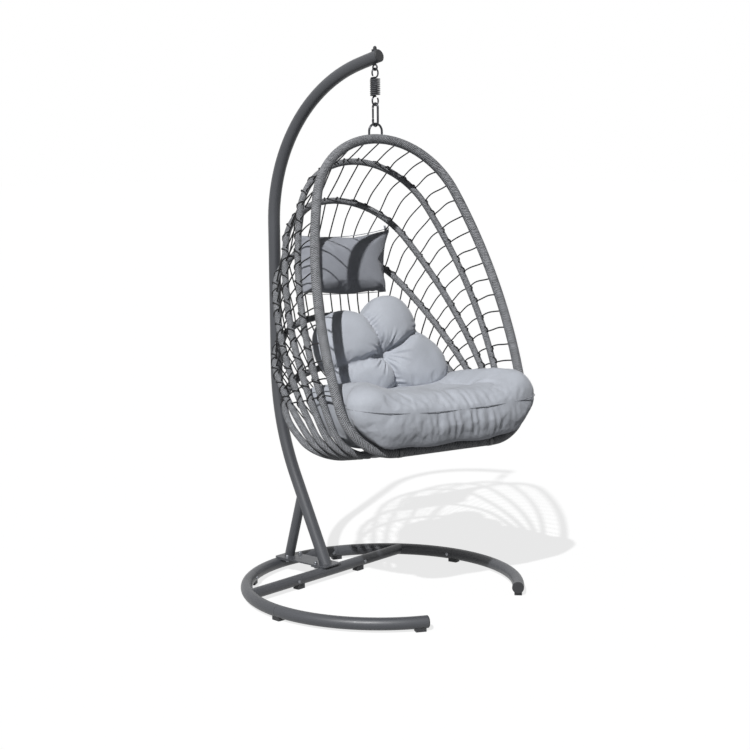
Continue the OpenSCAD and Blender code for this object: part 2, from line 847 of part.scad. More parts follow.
// The snap hook's bent wire, in the basket's Y-Z plane, open on the back side.
// Two ears with a slot between them hold the gate's pin.
module snap_hook() {
    turn = butt_turn(snap_r);
    color(zinc) turned() difference() {
        union() {
            translate([0, 0, snap_top_c]) rotate([90, 0, 90]) bend(snap_r, 0, 180 - turn) snap_face();
            translate([0, 0, snap_low_c]) rotate([90, 0, 90])
                bend(snap_r, 180 + turn, 360 - turn) snap_face();
            translate([0, -snap_r, snap_low_c]) {
                snap_butt();
                cylinder(d = snap_wire, h = snap_top_c - snap_low_c);
                translate([0, 0, snap_top_c - snap_low_c]) snap_butt();
            }
            translate([0, snap_r, snap_low_c]) {
                snap_butt();
                cylinder(d = snap_wire, h = ear_top - snap_low_c);
            }
        }
        translate([-slot_w / 2, snap_r - snap_wire, gate_pivot_z - 1.2 * tongue_r])
            cube([slot_w, 2 * snap_wire, 2 * snap_wire]);
        at_pin() translate([0, 0, -snap_wire]) cylinder(d = pin_d, h = 2 * snap_wire);
    }
}

module at_pin() {
    translate([0, snap_r, gate_pivot_z]) rotate([0, 90, 0]) children();
}

module gate_pin() {
    color(zinc) turned() at_pin() translate([0, 0, -snap_wire / 2]) cylinder(d = pin_d, h = snap_wire);
}

// The gate: a round bar with a flat tongue that turns on the pin
module snap_gate() {
    color(zinc) turned() difference() {
        union() {
            translate([0, snap_r, gate_foot]) cylinder(d = gate_d, h = gate_tip_z - gate_foot);
            translate([-tongue_w / 2, snap_r - tongue_r, gate_pivot_z])
                cube([tongue_w, 2 * tongue_r, gate_foot - gate_pivot_z + 1]);
            at_pin() translate([0, 0, -tongue_w / 2]) cylinder(r = tongue_r, h = tongue_w);
        }
        at_pin() translate([0, 0, -snap_wire]) cylinder(d = pin_d + 2 * pin_play, h = 2 * snap_wire);
    }
}

// The welded loop on the rim's crown
loop_low = rim_top_z + rim_tube / 4;

module rim_loop() {
    color(zinc) turned() {
        translate([0, 0, loop_top_z - loop_r]) rotate([90, 0, 0])
            bend(loop_r, butt_turn(loop_r), 180 - butt_turn(loop_r)) circle(d = loop_wire, $fn = 24);
        for (x = [-loop_r, loop_r])
            translate([x, 0, loop_top_z - loop_r - butt_len / 2]) cylinder(d = loop_wire / 2, h = butt_len);
        difference() {
            loop_legs(loop_wire);
            translate([0, rim_low_y, rim_low_z]) rotate([90 - rim_lean, 0, 0])
                translate([0, rim_h - top_r(rim_hoop), 0])
                    bend(top_r(rim_hoop), 70, 110) circle(d = rim_tube + 2 * snug, $fn = 32);
        }
    }
}

// The loop's two legs, which stand on the rim's tube and pass its rope cover
module loop_legs(d) {
    for (x = [-loop_r, loop_r])
        translate([x, 0, loop_low]) cylinder(d = d, h = loop_top_z - loop_r - loop_low);
}

// ---- hoops ----

// Frame of hoop h: X across, Y up its plane, origin at the middle of its foot
module in_hoop(h) {
    turned() translate([0, h[5], h[6]]) rotate([90 - h[7], 0, 0]) children();
}

// One arc of a hoop, drawn short by half a butt gap at each end
module hoop_arc(c, r, a, b, d, wall) {
    translate([c[0], c[1], 0]) bend(r, a + butt_turn(r), b - butt_turn(r)) tube_face(d, wall);
}

module hoop_butt(c, r, a, d, wall) {
    translate([c[0], c[1], 0]) rotate([0, 0, a]) translate([r, 0, 0]) rotate([90, 0, 0]) butt(d, wall);
}

// The bent part of a hoop: top, two long sides and two lower corners
module hoop_bends(h, d, wall) {
    top = [0, h[1] - top_r(h)];
    side = [h[0] - h[3], h[2]];
    corner = [corner_x(h), h[4]];
    hoop_arc(top, top_r(h), top_angle(h), 180 - top_angle(h), d, wall);
    for (flip = [0, 1]) mirror([flip, 0, 0]) {
        hoop_butt(side, h[3], top_angle(h), d, wall);
        hoop_arc(side, h[3], low_angle(h), top_angle(h), d, wall);
        hoop_butt(corner, h[4], low_angle(h), d, wall);
        hoop_arc(corner, h[4], -90, low_angle(h), d, wall);
    }
}

module hoop(h, d) {
    foot = corner_x(h) - butt_gap / 2;
    in_hoop(h) {
        hoop_bends(h, d, rib_wall);
        for (x = [-1, 1]) translate([x * corner_x(h), 0, 0]) rotate([0, 90, 0]) butt(d, rib_wall);
        translate([-foot, 0, 0]) rotate([0, 90, 0]) pipe(d, 2 * foot, rib_wall);
    }
}

// The rope cover leaves the straight foot bare, where the links sit
module hoop_rope(h, d) {
    color(rope_grey) in_hoop(h) hoop_bends(h, d + 2 * rope_t, rope_t - snug);
}

module rim() {
    color(steel) hoop(rim_hoop, rim_tube);
}

// The rim's cover goes on between the links across the foot
module rim_rope() {
    h = rim_hoop;
    difference() {
        hoop_rope(h, rim_tube);
        turned() loop_legs(loop_wire + 0.4);
    }
    gap = link_w / 2 + 0.5;
    color(rope_grey) in_hoop(h) {
        translate([-link_x + gap, 0, 0]) rotate([0, 90, 0])
            pipe(rim_tube + 2 * rope_t, 2 * (link_x - gap), rope_t - snug);
    }
}

module rib_a() {
    color(steel) hoop(hoops[1], rib_tube);
}

module rib_b() {
    color(steel) hoop(hoops[2], rib_tube);
}

module rib_c() {
    color(steel) hoop(hoops[3], rib_tube);
}

module rib_d() {
    color(steel) hoop(hoops[4], rib_tube);
}

module rib_e() {
    color(steel) hoop(hoops[5], rib_tube);
}

module rib_a_rope() {
    hoop_rope(hoops[1], rib_tube);
}

module rib_b_rope() {
    hoop_rope(hoops[2], rib_tube);
}

module rib_c_rope() {
    hoop_rope(hoops[3], rib_tube);
}

module rib_d_rope() {
    hoop_rope(hoops[4], rib_tube);
}

module rib_e_rope() {
    hoop_rope(hoops[5], rib_tube);
}

// ---- fold links ----

// A pair of links from hoop i to hoop i + 1. It is fixed on hoop i's foot and
// hoop i + 1 turns in it. Neighbouring pairs sit side by side.
function foot_d(i) = i == 0 ? rim_tube : rib_tube;

module fold_link(i) {
    a = hoops[i];
    b = hoops[i + 1];
    reach = norm([b[5] - a[5], b[6] - a[6]]);
    drop = atan2(b[6] - a[6], b[5] - a[5]);
    ra = foot_d(i) / 2;
    rb = foot_d(i + 1) / 2 + link_play;
    place = link_x - (i % 2) * (link_w + 1.5);
    color(black) for (x = [-place, place]) turned()
        translate([x - link_w / 2, a[5], a[6]]) rotate([0, 90, 0]) rotate([0, 0, 90])
            rotate([0, 0, drop]) difference() {
                union() {
                    cylinder(r = ra + link_wall, h = link_w);
                    translate([reach, 0, 0]) cylinder(r = rb + link_wall, h = link_w);
                    translate([0, -rb - link_wall, 0]) cube([reach, 2 * (rb + link_wall), link_w]);
                }
                translate([0, 0, -1]) cylinder(r = ra + snug, h = link_w + 2);
                translate([reach, 0, -1]) cylinder(r = rb, h = link_w + 2);
            }
}

module link_rim_a() {
    fold_link(0);
}

module link_a_b() {
    fold_link(1);
}

module link_b_c() {
    fold_link(2);
}

module link_c_d() {
    fold_link(3);
}

module link_d_e() {
    fold_link(4);
}

// ---- cords ----

// A round bar between two points, with its ends drawn back by e0 and e1
module rod(p, q, d, e0, e1) {
    v = q - p;
    len = norm(v);
    translate(p + v / len * e0) rotate([0, acos(v[2] / len), atan2(v[1], v[0])])
        cylinder(d = d, h = len - e0 - e1, $fn = 16);
}

// How far a cord's end stands off a hoop's centreline
function stand_off(v, t, r) = let (c = abs(v * t) / norm(v), s = sqrt(1 - c * c))
    (r + link_gap + cord_d / 2 * c) / s;

// Share of a hoop's half that its row of cords covers, down from the crown
function cord_share(i) = let (
    h = hoops[i],
    r = top_r(h),
    y = (cushion_z + cord_low - i * cord_drop - h[6]) / cos(h[7]),
    join = h[2] + h[3] * sin(top_angle(h)))
    (y > join ? r * (90 - asin((y - h[1] + r) / r))
        : r * (90 - top_angle(h)) + h[3] * (top_angle(h) - asin((y - h[2]) / h[3]))) * PI / 180 / half_len(h);

// The cords from hoop i to hoop i + 1, evenly along both rows
module cord_web(i) {
    a = hoops[i];
    b = hoops[i + 1];
    color(cord_grey) turned() for (k = [0:cord_count - 1]) {
        f = 2 * k / (cord_count - 1) - 1;
        fa = f * cord_share(i);
        fb = f * cord_share(i + 1);
        p = hoop_point(a, fa);
        q = hoop_point(b, fb);
        rod(p, q, cord_d, stand_off(q - p, hoop_tangent(a, fa), cover_r[i]),
            stand_off(q - p, hoop_tangent(b, fb), cover_r[i + 1]));
    }
}

module cords_rim_a() {
    cord_web(0);
}

module cords_a_b() {
    cord_web(1);
}

module cords_b_c() {
    cord_web(2);
}

module cords_c_d() {
    cord_web(3);
}

module cords_d_e() {
    cord_web(4);
}

// Cords across the inside of rib E, which carry the seat
module seat_cords() {
    h = hoops[5];
    r = top_r(h);
    hold = cover_r[5] + link_gap;
    count = floor(r * cos(top_angle(h)) * 0.9 / seat_pitch);
    color(cord_grey) in_hoop(h) for (n = [-count:count]) {
        side = abs(n * seat_pitch) + cord_d / 2;
        past = max(0, side - corner_x(h));
        top = h[1] - r + sqrt(pow(r - hold, 2) - side * side);
        foot = h[4] - sqrt(pow(h[4] - hold, 2) - past * past);
        translate([n * seat_pitch, foot, 0]) rotate([-90, 0, 0])
            cylinder(d = cord_d, h = top - foot, $fn = 16);
    }
}

// ---- cushions ----

function signed_pow(v, n) = v < 0 ? -pow(-v, n) : pow(v, n);
function bell(d, w) = exp(-pow(d / w, 2));
function ease(v) = let (k = min(1, max(0, v))) k * k * (3 - 2 * k);

// A closed skin over rings of points, from a first point to a last one
module skin(first, rings, last) {
    n = len(rings[0]);
    points = concat([first], [for (ring = rings) each ring], [last]);
    end = len(points) - 1;
    faces = concat(
        [for (i = [0:n - 1]) [0, 1 + (i + 1) % n, 1 + i]],
        [for (j = [0:len(rings) - 2], i = [0:n - 1])
            let (p = 1 + j * n + i, q = 1 + j * n + (i + 1) % n)
                each [[p, q, q + n], [p, q + n, p + n]]],
        [for (i = [0:n - 1]) [end, end - n + i, end - n + (i + 1) % n]]);
    polyhedron(points = points, faces = faces);
}

// The seat cushion, in the basket's frame. Its seam is a rounded rectangle
// whose ends rise. The top has a roll at each end and hollows between them.
// The underside follows the row of tubes, their corners and rib E.
seat_steps = 48;
seat_layers = 11;
seat_mid = seat_y + seat_depth / 2;
seat_hollows = [[165, 225, 60, 30], [-130, 260, 60, 22], [20, 140, 50, 12]];

function seam_at(x) = cushion_z + (x < 0 ? 30 : 14) * pow(x / seat_half, 2);
function rim_plane(z) = rim_low_y + (z - rim_low_z) * tan(rim_lean);
function cheek(y, z) = 1 + 0.105 * ease((rim_plane(z) - 10 - y) / 45);
function on_row(y) = rim_low_z + cover_r[0] + seat_rest - (y - rim_low_y) * tan(row_drop);
function on_rib_e(y) = let (h = hoops[5])
    h[6] + (y - h[5]) / tan(h[7]) + (cover_r[5] + seat_rest / 2) / sin(h[7]);
function end_rise(x) = let (past = max(0, abs(x) - corner_x(rim_hoop)))
    0.6 * (rim_corner_r - sqrt(pow(rim_corner_r, 2) - past * past));
function roll_at(x, q) = (x > 0 ? 1 : 0.65) * seat_roll * bell(abs(x) - 0.85 * seat_half, 75)
    * (1 - 0.5 * ease((q - 300) / 200));
function seat_lift(x, q) = seat_crown - 34 * ease((q - 140) / 260) + roll_at(x, q)
    - max([for (h = seat_hollows) h[3] * bell(norm([x - h[0], q - h[1]]), h[2])]);
function seat_skin(x, y) = seam_at(x) + seat_lift(x, y - seat_y);

function seat_point(i, j, side) = let (
    t = i * 360 / seat_steps,
    r = sin(90 * j / seat_layers),
    x = seat_half * signed_pow(cos(t), 1 / 3) * r,
    y = seat_mid + seat_depth / 2 * signed_pow(sin(t), 1 / 3) * r,
    seam = seam_at(x),
    z = side > 0 ? seam + seat_lift(x, y - seat_y) * sqrt(1 - pow(r, 7))
        : seam - (seam - end_rise(x) - max(on_row(y), on_rib_e(y))) * sqrt(1 - pow(r, 8)))
    [x * cheek(y, z), y, z];

function seat_ring(j, side) = [for (i = [0:seat_steps - 1]) seat_point(i, j, side)];

module seat_cushion() {
    m = seat_layers;
    color(cloth) turned() skin(seat_point(0, 0, 1),
        concat([for (j = [1:m]) seat_ring(j, 1)], [for (j = [m - 1:-1:1]) seat_ring(j, -1)]),
        seat_point(0, 0, -1));
}

// The back cushion: four puffs round one tuft, with a fold between neighbours.
// Each row is the angle of a fold, its reach, the swell and sharpness of the
// puff that follows, and the reaches are shares of back_reach.
back_steps = 72;
back_layers = 8;
back_x = -12;
back_y = seat_y + back_set;
back_z = cushion_z + back_rise;
puffs = [[-75, 0.56, 0.6, 1.3], [25, 0.815, 0.262, 1.2], [110, 0.66, 0.28, 0.9],
    [190, 0.86, 0.05, 0.8], [285, 0.56, 0, 1]];

function puff_turn(t) = t < 285 ? t : t - 360;
function puff_at(t) = max([for (n = [0:3]) if (puff_turn(t) >= puffs[n][0]) n]);
function puff_share(t) = let (n = puff_at(t))
    (puff_turn(t) - puffs[n][0]) / (puffs[n + 1][0] - puffs[n][0]);
function back_edge(t) = let (n = puff_at(t), s = puff_share(t))
    back_reach * (puffs[n][1] + (puffs[n + 1][1] - puffs[n][1]) * s
        + puffs[n][2] * pow(sin(180 * s), puffs[n][3]));
function fold_depth(rad, t) = max([for (n = [0:3]) let (d = t - puffs[n][0])
    cos(d) > 0 ? bell(rad * sin(d), 12) : 0]);
function back_swell(rad, r, t) = (0.82 + 0.18 * sqrt(sin(180 * puff_share(t))))
    * (1 - tuft_depth / back_front * bell(rad, 42))
    - 0.3 * fold_depth(rad, t) * (1 - 0.4 * r) * (1 - 0.6 * bell(rad, 25));

function back_point(i, j, side) = let (
    t = i * 360 / back_steps,
    r = sin(90 * j / back_layers),
    rad = r * back_edge(t),
    edge = sqrt(1 - pow(r, 4)),
    out = side > 0 ? back_front * edge * max(0.05, back_swell(rad, r, t)) : -back_rear * edge,
    x = back_x + rad * cos(t),
    y = back_y + rad * sin(t) * sin(back_lean) - out * cos(back_lean),
    z = back_z + rad * sin(t) * cos(back_lean) + out * sin(back_lean))
    [x, y, max(z, seat_skin(x, y) + 3)];

function back_ring(j, side) = [for (i = [0:back_steps - 1]) back_point(i, j, side)];

module back_cushion() {
    m = back_layers;
    color(cloth) turned() skin(back_point(0, 0, 1),
        concat([for (j = [1:m]) back_ring(j, 1)], [for (j = [m - 1:-1:1]) back_ring(j, -1)]),
        back_point(0, 0, -1));
}

// The head pillow: four corners, one of them long and curled forward, and
// sides that bow in
pillow_steps = 40;
pillow_layers = 7;
pillow_x = -6;
pillow_y = seat_y + pillow_set;
pillow_z = cushion_z + pillow_rise;

module at_pillow() {
    turned() translate([pillow_x, pillow_y, pillow_z]) rotate([90 - pillow_lean, 0, 0]) children();
}

function pillow_corner(right, up) = let (a = pillow_w / 2, b = pillow_h / 2)
    right ? (up ? [a + pillow_tip, b + 0.4 * pillow_tip] : [0.985 * a, -1.055 * b])
        : (up ? [-0.91 * a, 1.03 * b] : [-a, -0.955 * b]);

// c and s run from -1 to 1 between the corners, along the sides
function pillow_edge(c, s) =
    (pillow_corner(true, true) * (1 + c) * (1 + s) + pillow_corner(true, false) * (1 + c) * (1 - s)
    + pillow_corner(false, true) * (1 - c) * (1 + s) + pillow_corner(false, false) * (1 - c) * (1 - s)) / 4
    - [0.19 * pillow_tip * (1 - s * s) * (1 + c), pillow_h * (1 - c * c) * (0.05 + 0.03 * s)];

function pillow_point(i, j, side) = let (
    t = i * 360 / pillow_steps,
    r = sin(90 * j / pillow_layers),
    c = min(1, max(-1, cos(t) * sqrt(2))),
    s = min(1, max(-1, sin(t) * sqrt(2))),
    p = pillow_edge(c, s) * r,
    curl = 0.2 * pillow_tip * pow(r * max(0, c) * max(0, s), 3))
    [p[0], p[1], curl + side * pillow_t / 2 * pow(1 - pow(r, 3.4), 0.62)];

function pillow_ring(j, side) = [for (i = [0:pillow_steps - 1]) pillow_point(i, j, side)];

module head_pillow() {
    m = pillow_layers;
    color(pillow_cloth) at_pillow() skin(pillow_point(0, 0, 1),
        concat([for (j = [1:m]) pillow_ring(j, 1)], [for (j = [m - 1:-1:1]) pillow_ring(j, -1)]),
        pillow_point(0, 0, -1));
}

// A short tie sewn to each upper corner of the pillow
module pillow_ties() {
    color(pillow_cloth) at_pillow() for (right = [true, false]) {
        p = pillow_corner(right, true) * 0.96;
        translate([p[0], p[1], right ? 0.16 * pillow_tip : 0]) rotate([0, 0, right ? 95 : 120])
            translate([0, -4, -1.5]) cube([18, 8, 3]);
    }
}

base_back_arc();
base_side_left();
base_side_right();
base_front_left();
base_front_right();
crossbar();
base_sleeves();
base_end_caps();
base_screws();
foot_pads();
ring_tab();
crossbar_tab();
foot_plate();
plate_bolts();
plate_nuts();
strut();
pole_lower();
pole_upper();
pole_sleeve();
pole_screws();
pole_cap();
eyebolt();
eyebolt_nuts();
spring_coil();
spring_top_hook();
spring_bottom_hook();
snap_hook();
snap_gate();
gate_pin();
rim_loop();
rim();
rim_rope();
rib_a();
rib_b();
rib_c();
rib_d();
rib_e();
rib_a_rope();
rib_b_rope();
rib_c_rope();
rib_d_rope();
rib_e_rope();
link_rim_a();
link_a_b();
link_b_c();
link_c_d();
link_d_e();
cords_rim_a();
cords_a_b();
cords_b_c();
cords_c_d();
cords_d_e();
seat_cords();
seat_cushion();
back_cushion();
head_pillow();
pillow_ties();
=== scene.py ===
import bpy
import json
import math
import random
import numpy as np
from mathutils import Vector, Matrix, noise


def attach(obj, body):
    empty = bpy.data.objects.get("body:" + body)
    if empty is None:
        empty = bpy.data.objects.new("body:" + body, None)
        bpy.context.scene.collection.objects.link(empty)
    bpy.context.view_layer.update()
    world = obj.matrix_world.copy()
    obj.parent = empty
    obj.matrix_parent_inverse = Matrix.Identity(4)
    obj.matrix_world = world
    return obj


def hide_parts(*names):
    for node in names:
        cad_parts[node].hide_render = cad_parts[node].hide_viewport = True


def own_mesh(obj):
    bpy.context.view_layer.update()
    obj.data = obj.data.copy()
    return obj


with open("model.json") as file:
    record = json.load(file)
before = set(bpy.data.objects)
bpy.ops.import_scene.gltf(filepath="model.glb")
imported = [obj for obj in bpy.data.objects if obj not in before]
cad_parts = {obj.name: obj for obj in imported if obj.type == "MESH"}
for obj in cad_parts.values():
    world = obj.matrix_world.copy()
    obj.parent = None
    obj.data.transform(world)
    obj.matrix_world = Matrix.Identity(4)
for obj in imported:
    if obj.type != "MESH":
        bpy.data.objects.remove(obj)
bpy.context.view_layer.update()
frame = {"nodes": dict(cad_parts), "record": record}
rng = random.Random(7)
nodes = frame["nodes"]

# ---- sizes shared with the solids, in metres ----

# The basket's axes: U across, B backward and Z up
TURN = math.radians(-16.5)
U = Vector((math.cos(TURN), math.sin(TURN), 0))
B = Vector((-math.sin(TURN), math.cos(TURN), 0))
Z = Vector((0, 0, 1))
# The rim's lean from upright in degrees, its height, its top, and its lowest point as (b, z)
LEAN = 22.0
RIM_H = 1.138
RIM_TOP = 1.66955
LOW = (-RIM_H * math.sin(math.radians(LEAN)), RIM_TOP - RIM_H * math.cos(math.radians(LEAN)))
RIM_W, RIM_BELLY, RIM_SIDE, RIM_CORNER = 0.392, 0.336, 1.82, 0.183
RIB_W, RIB_SIDE, RIB_CORNER = 0.38, 1.6, 0.12
RIB_H = [1.104, 1.042, 0.944, 0.716, 0.542]
RIB_BELLY = [0.340, 0.260, 0.180, 0.170, 0.165]
RIM_R, RIB_R = 0.017, 0.012
# The ribs' feet stand in a row that drops backward, and each rib leans more than the last
FOOT_START, FOOT_STEP, FOOT_DROP = 0.105, 0.0305, math.radians(11)
FIRST_LEAN, LEAN_STEP = 25.8, 9.2


def place(u, b, z):
    return U * u + B * b + Z * z


class Hoop:
    """A hoop of tangent arcs over a straight foot. w is half its width, h its height, belly the
    height of its widest place, rs and rc the side's and corner's radius, foot its lowest point
    as (b, z), lean its lean in degrees and r the radius over its cover."""

    def __init__(self, w, h, belly, rs, rc, foot, lean, r):
        self.w, self.h, self.rs, self.rc = w, h, rs, rc
        self.belly, self.foot, self.lean, self.r = belly, foot, math.radians(lean), r
        k, dx = h - belly, w - rs
        self.rt = (rs * rs - dx * dx - k * k) / (2 * (rs - k))
        self.xc = w - rs + math.sqrt((rs - rc) ** 2 - (belly - rc) ** 2)
        self.at = math.atan2(h - self.rt - belly, rs - w)
        self.al = math.atan2(rc - belly, self.xc - w + rs)
        self.lc = rc * (math.pi / 2 + self.al)
        self.ls = rs * (self.at - self.al)
        self.lt = self.rt * (math.pi / 2 - self.at)
        self.half = self.lc + self.ls + self.lt
        self.up = B * math.sin(self.lean) + Z * math.cos(self.lean)
        self.out = B * math.cos(self.lean) - Z * math.sin(self.lean)

    def flat(self, s):
        """Point in the hoop's plane and outward angle, at arc length s from the foot's end."""
        if s < self.lc:
            c, r, a = (self.xc, self.rc), self.rc, -math.pi / 2 + s / self.rc
        elif s < self.lc + self.ls:
            c, r, a = (self.w - self.rs, self.belly), self.rs, self.al + (s - self.lc) / self.rs
        else:
            c, r, a = (0.0, self.h - self.rt), self.rt, self.at + (s - self.lc - self.ls) / self.rt
        return c[0] + r * math.cos(a), c[1] + r * math.sin(a), a

    def at_flat(self, x, y):
        return U * x + B * self.foot[0] + Z * self.foot[1] + self.up * y

    def point(self, f):
        """Point and tangent at share f round the hoop, 0 at the crown."""
        x, y, a = self.flat((1 - abs(f)) * self.half)
        sg = -1 if f < 0 else 1
        return self.at_flat(sg * x, y), U * (-sg * math.sin(a)) + self.up * math.cos(a)

    def outward(self, f):
        """Direction in the hoop's plane that points away from its middle."""
        a = self.flat((1 - abs(f)) * self.half)[2]
        sg = -1 if f < 0 else 1
        return U * (sg * math.cos(a)) + self.up * math.sin(a)


def rib_foot(i):
    s = FOOT_START + i * FOOT_STEP
    return LOW[0] + s * math.cos(FOOT_DROP), LOW[1] - s * math.sin(FOOT_DROP)


hoops = [Hoop(RIM_W, RIM_H, RIM_BELLY, RIM_SIDE, RIM_CORNER, LOW, LEAN, RIM_R)]
for i in range(5):
    hoops.append(Hoop(RIB_W, RIB_H[i], RIB_BELLY[i], RIB_SIDE, RIB_CORNER, rib_foot(i),
                      FIRST_LEAN + LEAN_STEP * i, RIB_R))
hoop_bodies = ["basket", "rib_a", "rib_b", "rib_c", "rib_d", "rib_e"]


# ---- mesh helpers ----

def new_mesh(name, verts, faces, smooth=True):
    me = bpy.data.meshes.new(name)
    me.from_pydata([tuple(v) for v in verts], [], faces)
    me.validate()
    me.update()
    if smooth:
        me.polygons.foreach_set("use_smooth", [True] * len(me.polygons))
    ob = bpy.data.objects.new(name, me)
    bpy.context.scene.collection.objects.link(ob)
    return ob


def read_all(me, what):
    """Every vertex's co or normal, as rows."""
    got = np.zeros(len(me.vertices) * 3)
    me.vertices.foreach_get(what, got)
    return got.reshape(-1, 3)


class Mesh:
    """Collects swept tubes and balls into one mesh. Its UV map is metres along and turns round."""

    def __init__(self):
        self.v, self.f, self.uv = [], [], []

    def tube(self, pts, radius, sides, closed=False, normal=None):
        """Sweeps a round section along pts. normal is where its turns start from."""
        pts = [Vector(p) for p in pts]
        n = len(pts)
        tang = []
        for i in range(n):
            a = pts[(i - 1) % n] if closed or i > 0 else pts[i]
            b = pts[(i + 1) % n] if closed or i < n - 1 else pts[i]
            tang.append((b - a).normalized())
        ref = Vector(normal) if normal is not None else (
            Vector((0, 0, 1)) if abs(tang[0].z) < 0.9 else Vector((1, 0, 0)))
        x = (ref - tang[0] * ref.dot(tang[0])).normalized()
        base = len(self.v)
        length = [0.0]
        for i in range(1, n + 1):
            length.append(length[-1] + (pts[i % n] - pts[i - 1]).length)
        for i in range(n):
            t = tang[i]
            x = (x - t * x.dot(t)).normalized()
            y = t.cross(x)
            for k in range(sides):
                a = 2 * math.pi * k / sides
                self.v.append(pts[i] + (x * math.cos(a) + y * math.sin(a)) * radius)
        rings = n if closed else n - 1
        for i in range(rings):
            j = (i + 1) % n
            for k in range(sides):
                m = (k + 1) % sides
                self.f.append((base + i * sides + k, base + i * sides + m,
                               base + j * sides + m, base + j * sides + k))
                self.uv.append(((length[i], k / sides), (length[i], (k + 1) / sides),
                                (length[i + 1], (k + 1) / sides), (length[i + 1], k / sides)))
        if not closed:
            self.f.append(tuple(base + k for k in reversed(range(sides))))
            self.uv.append(tuple((length[0], k / sides) for k in range(sides)))
            last = base + (n - 1) * sides
            self.f.append(tuple(last + k for k in range(sides)))
            self.uv.append(tuple((length[n - 1], k / sides) for k in range(sides)))

    def ball(self, c, r, axis, longer, rows=5, cols=8):
        """A ball of radius r that is longer times its size along axis."""
        base = len(self.v)
        axis = axis.normalized()
        for i in range(rows + 1):
            a = math.pi * i / rows
            for j in range(cols):
                b = 2 * math.pi * j / cols
                d = Vector((math.sin(a) * math.cos(b), math.sin(a) * math.sin(b), math.cos(a))) * r
                d += axis * d.dot(axis) * (longer - 1)
                self.v.append(c + d)
        for i in range(rows):
            for j in range(cols):
                m = (j + 1) % cols
                self.f.append((base + i * cols + j, base + (i + 1) * cols + j,
                               base + (i + 1) * cols + m, base + i * cols + m))
                self.uv.append(((0, 0), (0, 0), (0, 0), (0, 0)))

    def build(self, name):
        ob = new_mesh(name, self.v, self.f)
        me = ob.data
        if len(me.polygons) == len(self.f):
            layer = me.uv_layers.new(name="Along")
            flat = []
            for quad in self.uv:
                for a in quad:
                    flat.extend(a)
            layer.data.foreach_set("uv", flat)
        return ob


# ---- materials ----

class Mat:
    """A material with a Principled shader and short calls for the nodes that feed it."""

    def __init__(self, name, color, rough, metallic=0.0, spec=0.5):
        m = bpy.data.materials.new(name)
        m.use_nodes = True
        self.m, self.nt = m, m.node_tree
        self.p = self.nt.nodes["Principled BSDF"]
        self.p.inputs["Base Color"].default_value = color
        self.p.inputs["Roughness"].default_value = rough
        self.p.inputs["Metallic"].default_value = metallic
        self.p.inputs["Specular IOR Level"].default_value = spec
        m.diffuse_color = color

    def node(self, kind, **props):
        n = self.nt.nodes.new(kind)
        for k, v in props.items():
            setattr(n, k, v)
        return n

    def link(self, a, b):
        self.nt.links.new(a, b)

    def coords(self):
        return self.node("ShaderNodeTexCoord").outputs["Object"]

    def noise(self, vec, scale, detail=3.0, rough=0.5):
        n = self.node("ShaderNodeTexNoise")
        n.inputs["Scale"].default_value = scale
        n.inputs["Detail"].default_value = detail
        n.inputs["Roughness"].default_value = rough
        self.link(vec, n.inputs["Vector"])
        return n.outputs["Fac"]

    def math(self, op, a, b=None, c=None, clamp=False):
        n = self.node("ShaderNodeMath", operation=op)
        n.use_clamp = clamp
        for i, v in enumerate((a, b, c)):
            if v is None:
                continue
            if isinstance(v, (int, float)):
                n.inputs[i].default_value = v
            else:
                self.link(v, n.inputs[i])
        return n.outputs[0]

    def ramp(self, fac, stops):
        n = self.node("ShaderNodeValToRGB")
        e = n.color_ramp.elements
        while len(e) < len(stops):
            e.new(0.5)
        for el, (pos, col) in zip(e, stops):
            el.position = pos
            el.color = col
        self.link(fac, n.inputs["Fac"])
        return n.outputs["Color"]

    def color(self, out):
        self.link(out, self.p.inputs["Base Color"])

    def rough(self, fac, lo, hi):
        n = self.node("ShaderNodeMapRange")
        n.inputs["To Min"].default_value = lo
        n.inputs["To Max"].default_value = hi
        self.link(fac, n.inputs["Value"])
        self.link(n.outputs["Result"], self.p.inputs["Roughness"])

    def bump(self, height, strength, distance):
        n = self.node("ShaderNodeBump")
        n.inputs["Strength"].default_value = strength
        n.inputs["Distance"].default_value = distance
        self.link(height, n.inputs["Height"])
        self.link(n.outputs["Normal"], self.p.inputs["Normal"])


def tint(c, k):
    """The colour c, k times as bright."""
    return (c[0] * k, c[1] * k, c[2] * k, 1.0)


def powder_coat(name, col, rough):
    """Fine-grained matt paint, a little uneven in tone."""
    s = Mat(name, col, rough, spec=0.5)
    v = s.coords()
    big = s.noise(v, 6.0, 4.0)
    fine = s.noise(v, 900.0, 2.0)
    s.color(s.ramp(big, [(0.3, tint(col, 0.9)), (0.7, tint(col, 1.1))]))
    s.rough(s.noise(v, 60.0, 3.0), rough - 0.06, rough + 0.08)
    s.bump(fine, 0.12, 0.0004)
    return s.m


def plated(name, col, rough):
    """Dull metal with stains."""
    s = Mat(name, col, rough, metallic=0.85, spec=0.5)
    v = s.coords()
    s.color(s.ramp(s.noise(v, 70.0, 4.0), [(0.3, tint(col, 0.75)), (0.7, tint(col, 1.15))]))
    s.rough(s.noise(v, 240.0, 3.0), rough - 0.08, rough + 0.12)
    s.bump(s.noise(v, 1400.0, 2.0), 0.1, 0.0002)
    return s.m


def moulded(name, col):
    """Dark plastic with a fine texture."""
    s = Mat(name, col, 0.55, spec=0.4)
    v = s.coords()
    s.color(s.ramp(s.noise(v, 25.0, 3.0), [(0.3, tint(col, 0.85)), (0.7, tint(col, 1.15))]))
    s.bump(s.noise(v, 1600.0, 2.0), 0.2, 0.0003)
    return s.m


